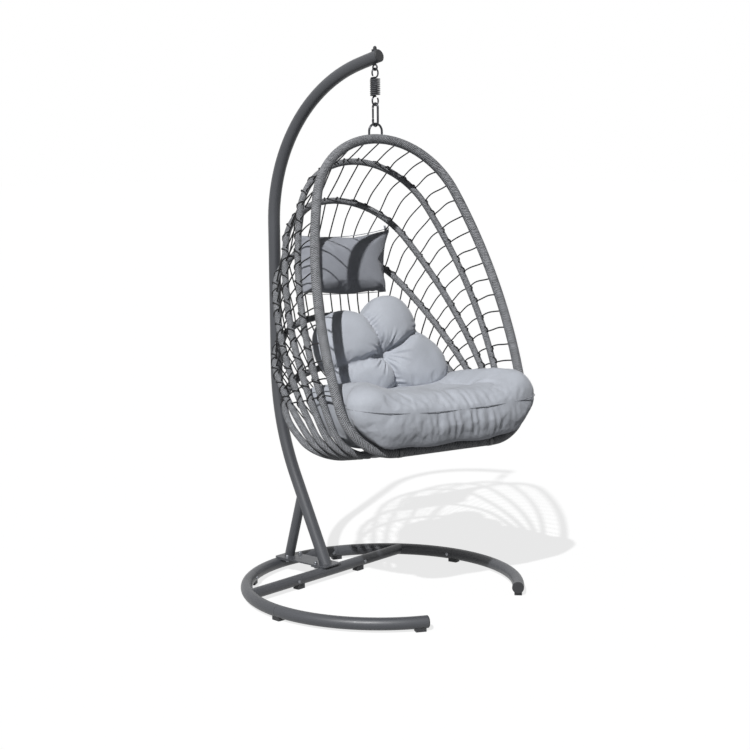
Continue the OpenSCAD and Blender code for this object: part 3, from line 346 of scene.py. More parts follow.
def braid(name, col, dark, pitch, zigzags):
    """Short strokes that zigzag round the tube, from its own length and turn."""
    s = Mat(name, col, 0.7, spec=0.3)
    uv = s.node("ShaderNodeUVMap")
    uv.uv_map = "Along"
    sep = s.node("ShaderNodeSeparateXYZ")
    s.link(uv.outputs["UV"], sep.inputs[0])
    along = s.math("MULTIPLY", sep.outputs[0], 1.0 / pitch)
    turn = s.math("PINGPONG", s.math("MULTIPLY", sep.outputs[1], float(2 * zigzags)), 1.0)
    v = s.coords()
    worn = s.noise(v, 55.0, 4.0)
    jog = s.math("MULTIPLY", s.noise(v, 160.0, 2.0), 0.9)
    phase = s.math("ADD", s.math("MULTIPLY_ADD", turn, 1.5, along), jog)
    ridge = s.math("SINE", s.math("MULTIPLY", phase, 2 * math.pi))
    height = s.math("MULTIPLY_ADD", ridge, 0.5, 0.5)
    fuzz = s.noise(v, 1500.0, 2.0)
    # Colour mixes random wear with painted shade in the grooves between strokes and a painted
    # highlight on their ridges, both following the bump's height.
    wear_and_painted_shade = s.math("MULTIPLY_ADD", worn, 0.55, s.math("MULTIPLY", height, 0.6), clamp=True)
    s.color(s.ramp(wear_and_painted_shade, [(0.26, dark), (0.55, col), (0.95, tint(col, 1.5))]))
    s.bump(s.math("MULTIPLY_ADD", fuzz, 0.15, height), 0.8, 0.0014)
    return s.m


def cord_mat(name, col):
    """Twisted plastic cord, uneven along its length."""
    s = Mat(name, col, 0.62, spec=0.3)
    v = s.coords()
    s.color(s.ramp(s.noise(v, 300.0, 3.0), [(0.3, tint(col, 0.6)), (0.7, tint(col, 1.6))]))
    s.bump(s.noise(v, 1200.0, 2.0), 0.4, 0.0006)
    return s.m


# Width of a thread of the cushions' cloth
THREAD = 0.0011


def woven(name, col):
    """Plain weave from object coordinates on three planes, with soft wear and a faint sheen."""
    s = Mat(name, col, 0.86, spec=0.2)
    s.p.inputs["Sheen Weight"].default_value = 0.25
    s.p.inputs["Sheen Roughness"].default_value = 0.5
    v = s.coords()
    sep = s.node("ShaderNodeSeparateXYZ")
    s.link(v, sep.inputs[0])
    k = math.pi / THREAD
    waves = [s.math("SINE", s.math("MULTIPLY", sep.outputs[i], k)) for i in range(3)]
    xy = s.math("MULTIPLY", waves[0], waves[1])
    yz = s.math("MULTIPLY", waves[1], waves[2])
    xz = s.math("MULTIPLY", waves[0], waves[2])
    weave = s.math("ADD", s.math("ADD", xy, yz), xz)
    worn = s.noise(v, 9.0, 5.0, 0.6)
    slub = s.noise(v, 420.0, 3.0)
    tone = s.math("MULTIPLY_ADD", slub, 0.35, s.math("MULTIPLY", worn, 0.65))
    s.color(s.ramp(tone, [(0.3, tint(col, 0.86)), (0.7, tint(col, 1.1))]))
    crease = s.noise(v, 38.0, 6.0, 0.62)
    h = s.math("MULTIPLY_ADD", weave, 0.05, s.math("MULTIPLY_ADD", slub, 0.12, crease))
    s.bump(h, 0.35, 0.004)
    return s.m


ROPE_PITCH, ROPE_ZIGZAGS = 0.0066, 3
m_stand = powder_coat("stand_coat", (0.064, 0.067, 0.075, 1), 0.42)
m_hoop = powder_coat("hoop_coat", (0.12, 0.123, 0.13, 1), 0.45)
m_link = powder_coat("link_coat", (0.11, 0.113, 0.12, 1), 0.45)
m_plastic = moulded("plastic_caps", (0.03, 0.031, 0.034, 1))
m_bolt = plated("zinc_bolts", (0.26, 0.27, 0.29, 1), 0.38)
m_hang = plated("hanger_wire", (0.055, 0.057, 0.062, 1), 0.34)
m_rope = braid("rope_cover", (0.215, 0.22, 0.232, 1), (0.022, 0.023, 0.026, 1),
               ROPE_PITCH, ROPE_ZIGZAGS)
m_rope_thin = braid("rope_cover_thin", (0.20, 0.205, 0.217, 1), (0.02, 0.021, 0.024, 1),
                    ROPE_PITCH, ROPE_ZIGZAGS)
m_cord = cord_mat("web_cord", (0.009, 0.0095, 0.0105, 1))
m_seat = woven("seat_cloth", (0.425, 0.447, 0.492, 1))
# The pillow is the seat's cloth darkened as painted shade, and its welt takes the same painted
# shade.
m_pillow_painted_shade = woven("pillow_cloth", (0.285, 0.297, 0.332, 1))
m_thread = cord_mat("seam_thread", (0.2, 0.21, 0.23, 1))

slot_mat = {"stand": m_stand, "plastic": m_plastic, "fastener": m_bolt, "hanger_steel": m_hang,
            "hoop_tube": m_hoop, "link": m_link, "rope": m_rope_thin, "cord": m_cord,
            "cushion": m_seat, "pillow": m_pillow_painted_shade}
for sub in frame["record"]["subparts"]:
    ob = nodes[sub["node"]]
    ob.data.materials.clear()
    ob.data.materials.append(slot_mat[sub["material_slot"]])


def finish_piece(ob, body, mat, slot, *replaced):
    """Gives a piece its material and body, and hides the nodes that it stands for; slot is not
    used.
    """
    ob.data.materials.append(mat)
    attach(ob, body)
    if replaced:
        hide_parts(*replaced)


# ---- rope covers ----

COVER_STEP = 0.008
COVER_SIDES = 16
# Half the length of the rim's straight foot, and its steps
RIM_FOOT, RIM_FOOT_STEPS = 0.1825, 45


def hoop_path(h):
    """Points from one end of the foot over the crown to the other."""
    n = int(2 * h.half / COVER_STEP)
    return [h.point(1 - 2 * i / n)[0] for i in range(n + 1)]


names = ["rim", "rib_a", "rib_b", "rib_c", "rib_d", "rib_e"]
for h, body, name in zip(hoops, hoop_bodies, names):
    m = Mesh()
    m.tube(hoop_path(h), h.r, COVER_SIDES, normal=h.out)
    if name == "rim":
        foot = [h.at_flat(-RIM_FOOT + 2 * RIM_FOOT * i / RIM_FOOT_STEPS, 0)
                for i in range(RIM_FOOT_STEPS + 1)]
        m.tube(foot, h.r, COVER_SIDES, normal=h.out)
    ob = m.build(name + "_rope_cover")
    finish_piece(ob, body, m_rope if name == "rim" else m_rope_thin, "rope", name + "_rope")

# ---- cord webs ----

CORD_R, CORD_SIDES = 0.0026, 6
COUNT = 36
# Height of the lowest cord on the rim, and how much lower it is on each hoop after it
CORD_LOW, CORD_DROP = 0.815, 0.018
CORD_STEPS = 9
# Between a hoop's cover and the end of a cord
CORD_GAP = 0.0008
# How far a cord bows to one side, waves and droops, as shares of its length
BOW, WAVE, DROOP = (0.025, 0.07), (-0.02, 0.02), (0.002, 0.012)
# Nearer the crown than this share of the hoop's half, a cord bows less
STRAIGHT_CROWN = 0.12
# A wrap's slant, half its turn round the rib in radians, its points, and the height of its
# middle over the cover in cord radii
WRAP_LEAN, WRAP_HALF, WRAP_POINTS, WRAP_RISE = 0.75, 1.85, 14, 0.55
# A knot's radius, how much longer it is along the rib, its height and its shift to either side
KNOT_R, KNOT_LONGER, KNOT_RISE, KNOT_SHIFT = 0.0036, 1.4, 0.0012, 0.003


def cord_share(i):
    """Share of hoop i's half that its row of cords covers, down from the crown."""
    h = hoops[i]
    y = (CORD_LOW - i * CORD_DROP - h.foot[1]) / math.cos(h.lean)
    if y > h.belly + h.rs * math.sin(h.at):
        run = h.rt * (math.pi / 2 - math.asin((y - h.h + h.rt) / h.rt))
    else:
        run = h.rt * (math.pi / 2 - h.at) + h.rs * (h.at - math.asin((y - h.belly) / h.rs))
    return run / h.half


shares = [cord_share(i) for i in range(6)]


def web_f(i, k):
    """Share round hoop i at which its cord k sits."""
    return (2 * k / (COUNT - 1) - 1) * shares[i]


cad_webs = ["cords_rim_a", "cords_a_b", "cords_b_c", "cords_c_d", "cords_d_e"]
for i in range(5):
    a, b = hoops[i], hoops[i + 1]
    m = Mesh()
    for k in range(COUNT):
        f = web_f(i, k)
        p, tp = a.point(f)
        q = b.point(web_f(i + 1, k))[0]
        d = (q - p).normalized()
        p0 = p + d * (a.r + CORD_GAP)
        q0 = q - d * (b.r + CORD_GAP)
        along = tp.normalized() * min(1.0, abs(f) / STRAIGHT_CROWN)
        long = (q0 - p0).length
        bow = long * rng.uniform(*BOW)
        wave = long * rng.uniform(*WAVE)
        droop = long * rng.uniform(*DROOP)
        pts = []
        for j in range(CORD_STEPS + 1):
            t = j / CORD_STEPS
            side = bow * math.sin(math.pi * t) + wave * math.sin(2 * math.pi * t)
            pts.append(p0.lerp(q0, t) + along * side - Z * (droop * math.sin(math.pi * t)))
        m.tube(pts, CORD_R, CORD_SIDES)
    ob = m.build("web_" + "abcde"[i])
    ob.data.materials.append(m_cord)
    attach(ob, hoop_bodies[i])
    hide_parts(cad_webs[i])
    tuple(a.at_flat(0, 0))
    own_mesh(ob)

# Each cord crosses the outside of every rib slantwise, each way in turn.
for i in range(1, 6):
    h = hoops[i]
    m = Mesh()
    for k in range(COUNT):
        f = web_f(i, k)
        p, t = h.point(f)
        out = h.outward(f)
        r = h.r + CORD_R * WRAP_RISE
        lean = (WRAP_LEAN if k % 2 else -WRAP_LEAN) * rng.uniform(0.7, 1.2)
        pts = []
        for a in np.linspace(-WRAP_HALF, WRAP_HALF, WRAP_POINTS):
            pts.append(p + t * (lean * a * r) + (out * math.cos(a) + h.out * math.sin(a)) * r)
        m.tube(pts, CORD_R, CORD_SIDES, normal=t)
        knot = p + out * (h.r + KNOT_RISE) + h.out * rng.uniform(-KNOT_SHIFT, KNOT_SHIFT)
        m.ball(knot, KNOT_R, t, KNOT_LONGER)
    finish_piece(m.build(names[i] + "_cord_loops"), hoop_bodies[i], m_cord, "cord")


# ---- cushions ----

def bell(d, w):
    """1 at d = 0, fading out over the width w."""
    return math.exp(-(d / w) ** 2)


def spow(v, n):
    """v to the power n with its sign kept."""
    return math.copysign(abs(v) ** n, v)


def grid_pad(name, surface, rows, cols):
    """Closed crowned form. surface(side, r, t) gives a point: r is 0 mid-face and 1 at the seam."""
    verts, faces = [], []
    for side in (1, -1):
        for j in range(rows if side > 0 else rows - 1):
            r = math.sin(math.pi / 2 * (j + 1) / rows)
            for i in range(cols):
                verts.append(surface(side, r, 2 * math.pi * i / cols))
    up = len(verts)
    verts.append(surface(1, 0.0, 0.0))
    verts.append(surface(-1, 0.0, 0.0))

    def idx(side, j, i):
        if side > 0 or j == rows - 1:
            return j * cols + i % cols
        return rows * cols + j * cols + i % cols

    for side in (1, -1):
        centre = up if side > 0 else up + 1
        for i in range(cols):
            a, b = idx(side, 0, i), idx(side, 0, i + 1)
            faces.append((centre, a, b) if side > 0 else (centre, b, a))
        for j in range(rows - 1):
            for i in range(cols):
                a, b = idx(side, j, i), idx(side, j, i + 1)
                c, d = idx(side, j + 1, i + 1), idx(side, j + 1, i)
                faces.append((a, d, c, b) if side > 0 else (a, b, c, d))
    return new_mesh(name, verts, faces)


def apply_mods(ob):
    """Makes the modifiers' result the object's own mesh."""
    dg = bpy.context.evaluated_depsgraph_get()
    me = bpy.data.meshes.new_from_object(ob.evaluated_get(dg))
    ob.modifiers.clear()
    old = ob.data
    ob.data = me
    bpy.data.meshes.remove(old)


def remesh(ob, size):
    mod = ob.modifiers.new("Remesh", "REMESH")
    mod.mode = "VOXEL"
    mod.voxel_size = size
    apply_mods(ob)


# Frames of cloth simulation for each cushion
PUFF_FRAMES = 14


def puff(ob, pin, cap, pressure, shrink):
    """Blows the closed form up as cloth, and moves no point further than cap. pin(co) gives how
    firmly a point is held, from 0 to 1."""
    me = ob.data
    rest = read_all(me, "co")
    group = ob.vertex_groups.new(name="pin")
    for i, co in enumerate(rest):
        w = pin(co)
        if w > 0.01:
            group.add([i], w, "REPLACE")
    mod = ob.modifiers.new("Cloth", "CLOTH")
    st = mod.settings
    st.vertex_group_mass = "pin"
    st.use_pressure = True
    st.uniform_pressure_force = pressure
    st.shrink_min = shrink
    st.tension_stiffness = 12
    st.compression_stiffness = 12
    st.bending_stiffness = 0.4
    st.quality = 5
    st.mass = 0.25
    st.air_damping = 2
    st.effector_weights.gravity = 0
    mod.collision_settings.use_collision = False
    scene = bpy.context.scene
    for f in range(1, PUFF_FRAMES + 1):
        scene.frame_set(f)
    dg = bpy.context.evaluated_depsgraph_get()
    move = read_all(ob.evaluated_get(dg).data, "co") - rest
    ob.modifiers.clear()
    size = np.linalg.norm(move, axis=1, keepdims=True)
    move *= np.minimum(1, cap / np.maximum(size, 1e-9))
    me.vertices.foreach_set("co", (rest + move).ravel())
    me.update()
    scene.frame_set(1)


def add_welt(name, points, radius, mat, slot):
    """A thin closed cord along a cushion's seam."""
    m = Mesh()
    m.tube(points, radius, CORD_SIDES, closed=True)
    ob = m.build(name)
    finish_piece(ob, "basket", mat, slot)
    return ob


def smooth_sub(ob):
    """Evens the surface once, divides it once and shades it smooth."""
    mod = ob.modifiers.new("Smooth", "SMOOTH")
    mod.factor = 0.5
    mod.iterations = 1
    mod = ob.modifiers.new("Sub", "SUBSURF")
    mod.levels = mod.render_levels = 1
    apply_mods(ob)
    ob.data.polygons.foreach_set("use_smooth", [True] * len(ob.data.polygons))


# Seat cushion, in the basket's own frame: x across, y backward, z up.
# Half its width, its middle along y, half its depth, and its seam's height
SEAT_HALF, SEAT_CY, SEAT_HY = 0.354, -0.252, 0.248
SEAM_Z = 0.752
SEAM_RISE_LEFT, SEAM_RISE_RIGHT = 0.030, 0.014
ROLL_LEFT, ROLL_RIGHT = 0.034, 0.052
CORNER_POWER = 1 / 3
CHEEK_SWELL = 0.105
SAG = 0.028
SEAT_WELT_R, SEAT_WELT_STEPS, SEAT_WELT_OUT = 0.0012, 240, 1.004
# Each hollow: x, y, width, depth
SEAT_HOLLOWS = [(0.165, -0.275, 0.060, 0.030), (-0.130, -0.240, 0.060, 0.022),
                (0.02, -0.36, 0.05, 0.012)]
RIM_TAN = math.tan(math.radians(LEAN))


def ramp01(v):
    """Smooth step from 0 at v = 0 to 1 at v = 1."""
    v = min(1.0, max(0.0, v))
    return v * v * (3 - 2 * v)


def seam_height(x):
    k = (x / SEAT_HALF) ** 2
    return SEAM_Z + (SEAM_RISE_LEFT if x < 0 else SEAM_RISE_RIGHT) * k


def rim_b(z):
    """How far back the rim's plane is at height z."""
    return LOW[0] + (z - LOW[1]) * RIM_TAN


def seat_outline(t):
    return (spow(math.cos(t), CORNER_POWER) * SEAT_HALF,
            spow(math.sin(t), CORNER_POWER) * SEAT_HY)


def cheek(y, z):
    """The ends swell in front of the rim's tube, which holds them in further back."""
    return 1 + CHEEK_SWELL * ramp01((rim_b(z) - 0.010 - y) / 0.045)


def end_rise(x):
    """How much higher the hoops' corners hold the cushion's ends."""
    rim_h = hoops[0]
    past = max(0.0, abs(x) - rim_h.xc)
    return 0.6 * (rim_h.rc - math.sqrt(rim_h.rc ** 2 - past * past))


def support(x, y):
    """Top of what carries the cushion: the row of feet, then rib E's cords."""
    e = hoops[5]
    row = LOW[1] + RIM_R + 0.005 - (y - LOW[0]) * math.tan(FOOT_DROP)
    rib = e.foot[1] + (y - e.foot[0]) / math.tan(e.lean) + (e.r + 0.0025) / math.sin(e.lean)
    return end_rise(x) + max(row, rib)


def seat_lift(x, y):
    """Height of the top over the seam, higher at the front and the ends, less the hollows."""
    roll = ROLL_RIGHT if x > 0 else ROLL_LEFT
    lift = 0.056 - 0.034 * ramp01((y + 0.36) / 0.26)
    lift += roll * bell(abs(x) - 0.30, 0.075) * (1 - 0.5 * ramp01((y + 0.2) / 0.2))
    return lift - max(d * bell(math.hypot(x - hx, y - hy), w) for hx, hy, w, d in SEAT_HOLLOWS)


def seat_skin(x, y):
    return seam_height(x) + seat_lift(x, y)


def seat_top(x, y, r):
    return seam_height(x) + seat_lift(x, y) * (1 - r ** 7) ** 0.5


def seat_low(x, y, r):
    """The underside, which sags in front of the rim's bottom tube."""
    s = seam_height(x)
    sag = SAG * ramp01((LOW[0] - 0.016 - y) / 0.020) * ramp01((0.31 - abs(x)) / 0.06)
    return s - (s - support(x, y) + sag) * (1 - r ** 10) ** 0.5


def seat_surface(side, r, t):
    ox, oy = seat_outline(t)
    x, y = ox * r, SEAT_CY + oy * r
    z = seat_top(x, y, r) if side > 0 else seat_low(x, y, r)
    return x * cheek(y, z), y, z


def seat_pin(co):
    """Held in the two tufted hollows, along the seam, at the rim's sides and underneath."""
    x, y, z = co
    w = 0.0
    for hx, hy, *_ in SEAT_HOLLOWS[:2]:
        w = max(w, 0.9 * bell(math.hypot(x - hx, y - hy), 0.018) * (1 if z > SEAM_Z else 0))
    if z > 0.70:
        k = seam_height(x)
        rx = abs(x) / (SEAT_HALF * cheek(y, k))
        ry = abs(y - SEAT_CY) / SEAT_HY
        r = (rx ** 6 + ry ** 6) ** (1 / 6)
        w = max(w, 0.9 * bell(math.hypot((1 - r) * 0.25, z - k), 0.008))
    if abs(x) > 0.33 and y > rim_b(z) - 0.03:
        w = max(w, 0.6)
    if z < support(x, y) + 0.02:
        w = max(w, 0.5)
    return w


def basket_matrix():
    """From the basket's own frame to the row frame."""
    return Matrix(((U.x, B.x, 0, 0), (U.y, B.y, 0, 0), (0, 0, 1, 0), (0, 0, 0, 1)))


def gather(ob):
    """Sewn gathers on the front panel under the seam and short ones above it."""
    me = ob.data
    co, no = read_all(me, "co"), read_all(me, "normal")
    x, y, z = co.T
    zs = z - SEAM_Z
    front = np.clip((-y - 0.36) / 0.08, 0, 1)
    mid = np.exp(-((x - 0.05) / 0.16) ** 2)
    below = np.clip(-zs / 0.02, 0, 1) * np.clip((zs + 0.11) / 0.06, 0, 1)
    above = np.clip((zs + 0.004) / 0.02, 0, 1) * np.exp(-np.maximum(0, zs - 0.01) / 0.05) * 0.5
    wave = np.zeros(len(x))
    for often, shift, size in ((190, 0.3, 1.0), (262, 1.7, 0.6), (118, 2.2, 0.7)):
        wave += size * np.sin(often * (x + 0.25 * zs) + shift)
    d = 0.0026 * wave * front * mid * (below + above)
    slow = 0.003 * np.sin(31 * x + 0.7) * np.sin(23 * zs + 1.1) * front
    co += no * (d + slow)[:, None]
    me.vertices.foreach_set("co", co.ravel())
    me.update()


def make_seat():
    ob = grid_pad("seat_pad", seat_surface, rows=28, cols=96)
    remesh(ob, 0.008)
    puff(ob, seat_pin, cap=0.007, pressure=2.0, shrink=-0.02)
    smooth_sub(ob)
    gather(ob)
    ob.data.transform(basket_matrix())
    return ob


seat = make_seat()
finish_piece(seat, "basket", m_seat, "cushion", "seat_cushion")


def seat_welt_point(i):
    x, y, z = seat_surface(1, 1.0, 2 * math.pi * i / SEAT_WELT_STEPS)
    return place(x * SEAT_WELT_OUT, SEAT_CY + (y - SEAT_CY) * SEAT_WELT_OUT, z)


welt = add_welt("seat_welt", [seat_welt_point(i) for i in range(SEAT_WELT_STEPS)],
                SEAT_WELT_R, m_thread, "cushion")

# Back cushion: puffed lobes round one tuft. Local frame: x across, y up the lean, z to the front.
BACK_LEAN = math.radians(16)
BACK_AT = (-0.012, -0.02, 0.887)
BACK_FRONT, BACK_REAR, BACK_REACH = 0.090, 0.075, 0.233
# Each row: a fold's angle and its share of the reach, then the swell (a share of the reach) and
# sharpness of the puff that follows it. The last row closes the round.
PUFFS = [(-75, 0.56, 0.60, 1.3), (25, 0.815, 0.262, 1.2), (110, 0.66, 0.32, 0.9),
         (190, 0.98, 0.05, 0.8), (285, 0.56, 0, 1)]
FOLDS = [math.radians(row[0]) for row in PUFFS[:4]]


def puff_at(t):
    """The puff at an angle and the share of the way across it."""
    deg = math.degrees(t) % 360
    if deg >= PUFFS[-1][0]:
        deg -= 360
    n = max(i for i in range(4) if deg >= PUFFS[i][0])
    return n, (deg - PUFFS[n][0]) / (PUFFS[n + 1][0] - PUFFS[n][0])


def back_outline(t):
    """Reach of the cushion's edge from its tuft at angle t."""
    n, s = puff_at(t)
    a, b = PUFFS[n], PUFFS[n + 1]
    swell = a[2] * max(0.0, math.sin(math.pi * s)) ** a[3]
    return BACK_REACH * (a[1] + (b[1] - a[1]) * s + swell)


def fold_depth(rad, t, w=0.012):
    """1 in the nearest fold, fading out over the width w."""
    best = 0.0
    for fold in FOLDS:
        d = t - fold
        if math.cos(d) > 0:
            best = max(best, bell(rad * math.sin(d), w))
    return best


def back_swell(rad, r, t):
    """Share of the full depth: highest on the puffs, low at the folds and the tuft."""
    s = puff_at(t)[1]
    h = (0.82 + 0.18 * max(0.0, math.sin(math.pi * s)) ** 0.5) * (1 - 0.55 * bell(rad, 0.042))
    return h - 0.3 * fold_depth(rad, t) * (1 - 0.4 * r) * (1 - 0.6 * bell(rad, 0.025))


def back_surface(side, r, t):
    """Point in the basket's frame, kept above the seat's skin."""
    rad = r * back_outline(t)
    edge = (1 - r ** 4) ** 0.5
    out = BACK_FRONT * edge * max(0.05, back_swell(rad, r, t)) if side > 0 else -BACK_REAR * edge
    up = rad * math.sin(t)
    s, c = math.sin(BACK_LEAN), math.cos(BACK_LEAN)
    x = BACK_AT[0] + rad * math.cos(t)
    y = BACK_AT[1] + up * s - out * c
    z = BACK_AT[2] + up * c + out * s
    return x, y, max(z, seat_skin(x, y) + 0.003)


def back_local(co):
    """Radius, angle and depth to the front of a point in the basket's frame."""
    x, y, z = co[0] - BACK_AT[0], co[1] - BACK_AT[1], co[2] - BACK_AT[2]
    s, c = math.sin(BACK_LEAN), math.cos(BACK_LEAN)
    up, out = y * s + z * c, -y * c + z * s
    return math.hypot(x, up), math.atan2(up, x), out


def back_pin(co):
    """Held behind, on the seat, at the tuft, in the folds and along the edge."""
    rad, t, out = back_local(co)
    rim = back_outline(t)
    w = 0.4 if out < -0.01 else 0.0
    if co[2] < seat_skin(co[0], co[1]) + 0.012:
        w = max(w, 0.9)
    fold = 0.6 * fold_depth(rad, t, 0.010) * (1 if rad < rim * 0.92 else 0.3)
    return max(w, bell(rad, 0.016), fold, 0.8 * bell(math.hypot(rad - rim, out), 0.008))


def tuft_creases(ob):
    """Short gathers that run out from the tuft and from the ends of the folds."""
    me = ob.data
    co, no = read_all(me, "co"), read_all(me, "normal")
    for p, n in zip(co, no):
        rad, t, out = back_local(p)
        if out < 0:
            continue
        rim = back_outline(t)
        near = bell(rad - 0.045, 0.035)
        ends = bell(rim - rad - 0.035, 0.03) * fold_depth(rad, t, 0.035)
        ray = math.sin(17 * t + 1.3) + 0.7 * math.sin(29 * t + 0.4) + 0.5 * math.sin(11 * t)
        slow = noise.noise(Vector(p) * 14.0)
        p += n * (0.0024 * ray * near + 0.0020 * math.sin(260 * rad * t) * ends + 0.0030 * slow)
    me.vertices.foreach_set("co", co.ravel())
    me.update()


def leaning(at, lean):
    """Frame of a piece that leans back: x across, y up the lean, z to the front."""
    s, c = math.sin(lean), math.cos(lean)
    up = B * s + Z * c
    fwd = -B * c + Z * s
    o = place(*at)
    return Matrix(((U.x, up.x, fwd.x, o.x), (U.y, up.y, fwd.y, o.y),
                   (U.z, up.z, fwd.z, o.z), (0, 0, 0, 1)))


def make_back():
    ob = grid_pad("back_pad", back_surface, rows=30, cols=144)
    remesh(ob, 0.007)
    puff(ob, back_pin, cap=0.006, pressure=2.0, shrink=-0.02)
    smooth_sub(ob)
    tuft_creases(ob)
    ob.data.transform(basket_matrix())
    return ob


back = make_back()
finish_piece(back, "basket", m_seat, "cushion", "back_cushion")

# Head pillow. Local frame: x across, y up the lean, z to the front.
P_LEAN = math.radians(12)
P_AT = (-0.006, 0.236, 1.209)
# Half its width, height and depth, and how far its right upper corner is pulled out
P_X, P_Y, P_Z, P_TIP = 0.185, 0.109, 0.048, 0.042
P_WELT_R, P_WELT_STEPS, P_WELT_OUT = 0.0014, 200, 1.003
P_CORNERS = ((P_X + P_TIP, P_Y + 0.4 * P_TIP), (0.985 * P_X, -1.055 * P_Y),
             (-0.91 * P_X, 1.03 * P_Y), (-P_X, -0.955 * P_Y))


def square(t):
    """Point at angle t on a square from -1 to 1."""
    x, y = math.cos(t) * math.sqrt(2), math.sin(t) * math.sqrt(2)
    return min(1.0, max(-1.0, x)), min(1.0, max(-1.0, y))


def pillow_outline(t):
    """Edge between the four corners, drawn in a little along its sides."""
    c, s = square(t)
    share = ((1 + c) * (1 + s) / 4, (1 + c) * (1 - s) / 4,
             (1 - c) * (1 + s) / 4, (1 - c) * (1 - s) / 4)
    x = sum(k * q[0] for k, q in zip(share, P_CORNERS)) - 0.19 * P_TIP * (1 - s * s) * (1 + c)
    y = sum(k * q[1] for k, q in zip(share, P_CORNERS)) - P_Y * (1 - c * c) * (0.10 + 0.06 * s)
    return x, y


def pillow_surface(side, r, t):
    ox, oy = pillow_outline(t)
    c, s = square(t)
    curl = 0.2 * P_TIP * (r * max(0.0, c) * max(0.0, s)) ** 3
    return ox * r, oy * r, curl + side * P_Z * (1 - r ** 3.4) ** 0.62


def pillow_pin(co):
    """Held along the seam."""
    x, y, z = co
    t = math.atan2(y / P_Y, x / P_X)
    ox, oy = pillow_outline(t)
    gap = abs(1 - math.hypot(x, y) / math.hypot(ox, oy)) * math.hypot(x, y)
    return 0.9 * bell(math.hypot(gap, z), 0.006)


pillow = grid_pad("pillow_pad", pillow_surface, rows=24, cols=96)
remesh(pillow, 0.006)
puff(pillow, pillow_pin, cap=0.007, pressure=2.4, shrink=-0.03)
smooth_sub(pillow)
pillow.data.transform(leaning(P_AT, P_LEAN))
finish_piece(pillow, "basket", m_pillow_painted_shade, "pillow", "head_pillow")


def pillow_welt_point(i):
    x, y, z = pillow_surface(1, 1.0, 2 * math.pi * i / P_WELT_STEPS)
    return leaning(P_AT, P_LEAN) @ Vector((x * P_WELT_OUT, y * P_WELT_OUT, z))


pillow_welt = add_welt("pillow_welt", [pillow_welt_point(i) for i in range(P_WELT_STEPS)],
                       P_WELT_R, m_pillow_painted_shade, "pillow")

# The cushions, their welts and the pillow's ties each get a mesh of their own.
rim = hoops[0]
for ob in (seat, back, pillow, welt, pillow_welt, nodes["pillow_ties"]):
    tuple(rim.at_flat(0, 0.1))
    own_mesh(ob)

# ---- floor, light and camera ----

FAR = 60
FLOOR_GREY, FLOOR_LIFT = 0.24, 0.79
SKY_STRENGTH = 0.08
floor = new_mesh("floor", [(-FAR, -FAR, 0), (FAR, -FAR, 0), (FAR, FAR, 0), (-FAR, FAR, 0)],
                 [(0, 1, 2, 3)], smooth=False)


def seen_rays(tree):
    """1 for rays that show the background directly: camera, glossy and transmission."""
    path = tree.nodes.new("ShaderNodeLightPath")
    total = path.outputs["Is Camera Ray"]
    for name in ("Is Glossy Ray", "Is Transmission Ray"):
        top = tree.nodes.new("ShaderNodeMath")
        top.operation = "MAXIMUM"
        tree.links.new(total, top.inputs[0])
        tree.links.new(path.outputs[name], top.inputs[1])
        total = top.outputs[0]
    return total


def floor_paper():
    """Pale paper that takes shadows and is lifted towards white only where it is seen."""
    paper = bpy.data.materials.new("floor_paper")
    paper.use_nodes = True
    tree = paper.node_tree
    tree.nodes.clear()
    out = tree.nodes.new("ShaderNodeOutputMaterial")
    add = tree.nodes.new("ShaderNodeAddShader")
    matt = tree.nodes.new("ShaderNodeBsdfDiffuse")
    matt.inputs["Color"].default_value = (FLOOR_GREY, FLOOR_GREY, FLOOR_GREY, 1)
    glow = tree.nodes.new("ShaderNodeEmission")
    lift = tree.nodes.new("ShaderNodeMath")
    lift.operation = "MULTIPLY"
    lift.inputs[1].default_value = FLOOR_LIFT
    tree.links.new(seen_rays(tree), lift.inputs[0])
    tree.links.new(lift.outputs[0], glow.inputs["Strength"])
    tree.links.new(matt.outputs[0], add.inputs[0])
    tree.links.new(glow.outputs[0], add.inputs[1])
    tree.links.new(add.outputs[0], out.inputs[0])
    return paper


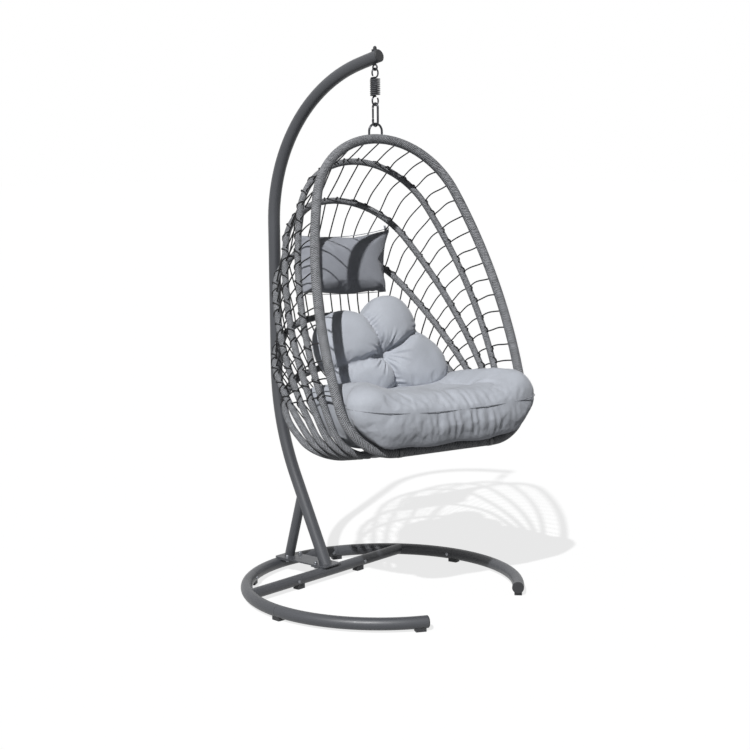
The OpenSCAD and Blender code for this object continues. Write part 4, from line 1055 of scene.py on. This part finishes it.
def studio_world():
    """A faint sky on the object and plain white where the background is seen."""
    world = bpy.data.worlds.new("studio")
    world.use_nodes = True
    tree = world.node_tree
    sky = tree.nodes["Background"]
    sky.inputs["Color"].default_value = (0.96, 0.98, 1.0, 1)
    sky.inputs["Strength"].default_value = SKY_STRENGTH
    white = tree.nodes.new("ShaderNodeBackground")
    white.inputs["Strength"].default_value = 1.0
    white.inputs["Color"].default_value = (1, 1, 1, 1)
    mix = tree.nodes.new("ShaderNodeMixShader")
    tree.links.new(seen_rays(tree), mix.inputs[0])
    tree.links.new(sky.outputs[0], mix.inputs[1])
    tree.links.new(white.outputs[0], mix.inputs[2])
    tree.links.new(mix.outputs[0], tree.nodes["World Output"].inputs["Surface"])
    return world


floor.data.materials.append(floor_paper())
bpy.context.scene.world = studio_world()


def sun(name, toward, strength, angle):
    """A sun that shines along toward, angle degrees wide."""
    data = bpy.data.lights.new(name, "SUN")
    data.energy = strength
    data.angle = math.radians(angle)
    ob = bpy.data.objects.new(name, data)
    bpy.context.scene.collection.objects.link(ob)
    ob.rotation_euler = Vector(toward).to_track_quat("-Z", "Y").to_euler()


sun("key", (0.69, 0.30, -0.66), 3.8, 1.0)
sun("fill", (1.0, 0.15, -0.6), 0.08, 60)

# The camera, fitted to the base ring, the pole and the hoops; its angle is in pixels of a 750 frame
HALF_FRAME_PX, FOCAL_PX = 375, 1549.14
CAM_AT = Vector((-4.26188307, -3.66300019, 1.63050413))
CAM_RIGHT = Vector((0.65210593, -0.75808248, -0.00829464))
CAM_UP = Vector((0.1143677, 0.08755208, 0.98957297))
CAM_AHEAD = Vector((0.74945172, 0.64625505, -0.14379338))
cam_data = bpy.data.cameras.new("camera")
cam = bpy.data.objects.new("camera", cam_data)
bpy.context.scene.collection.objects.link(cam)
cam_data.sensor_fit = "HORIZONTAL"
cam_data.angle = 2 * math.atan(HALF_FRAME_PX / FOCAL_PX)
cam.matrix_world = Matrix([(CAM_RIGHT[i], CAM_UP[i], -CAM_AHEAD[i], CAM_AT[i]) for i in range(3)]
                          + [(0, 0, 0, 1)])
bpy.context.scene.camera = cam
bpy.context.scene.view_settings.view_transform = "Standard"
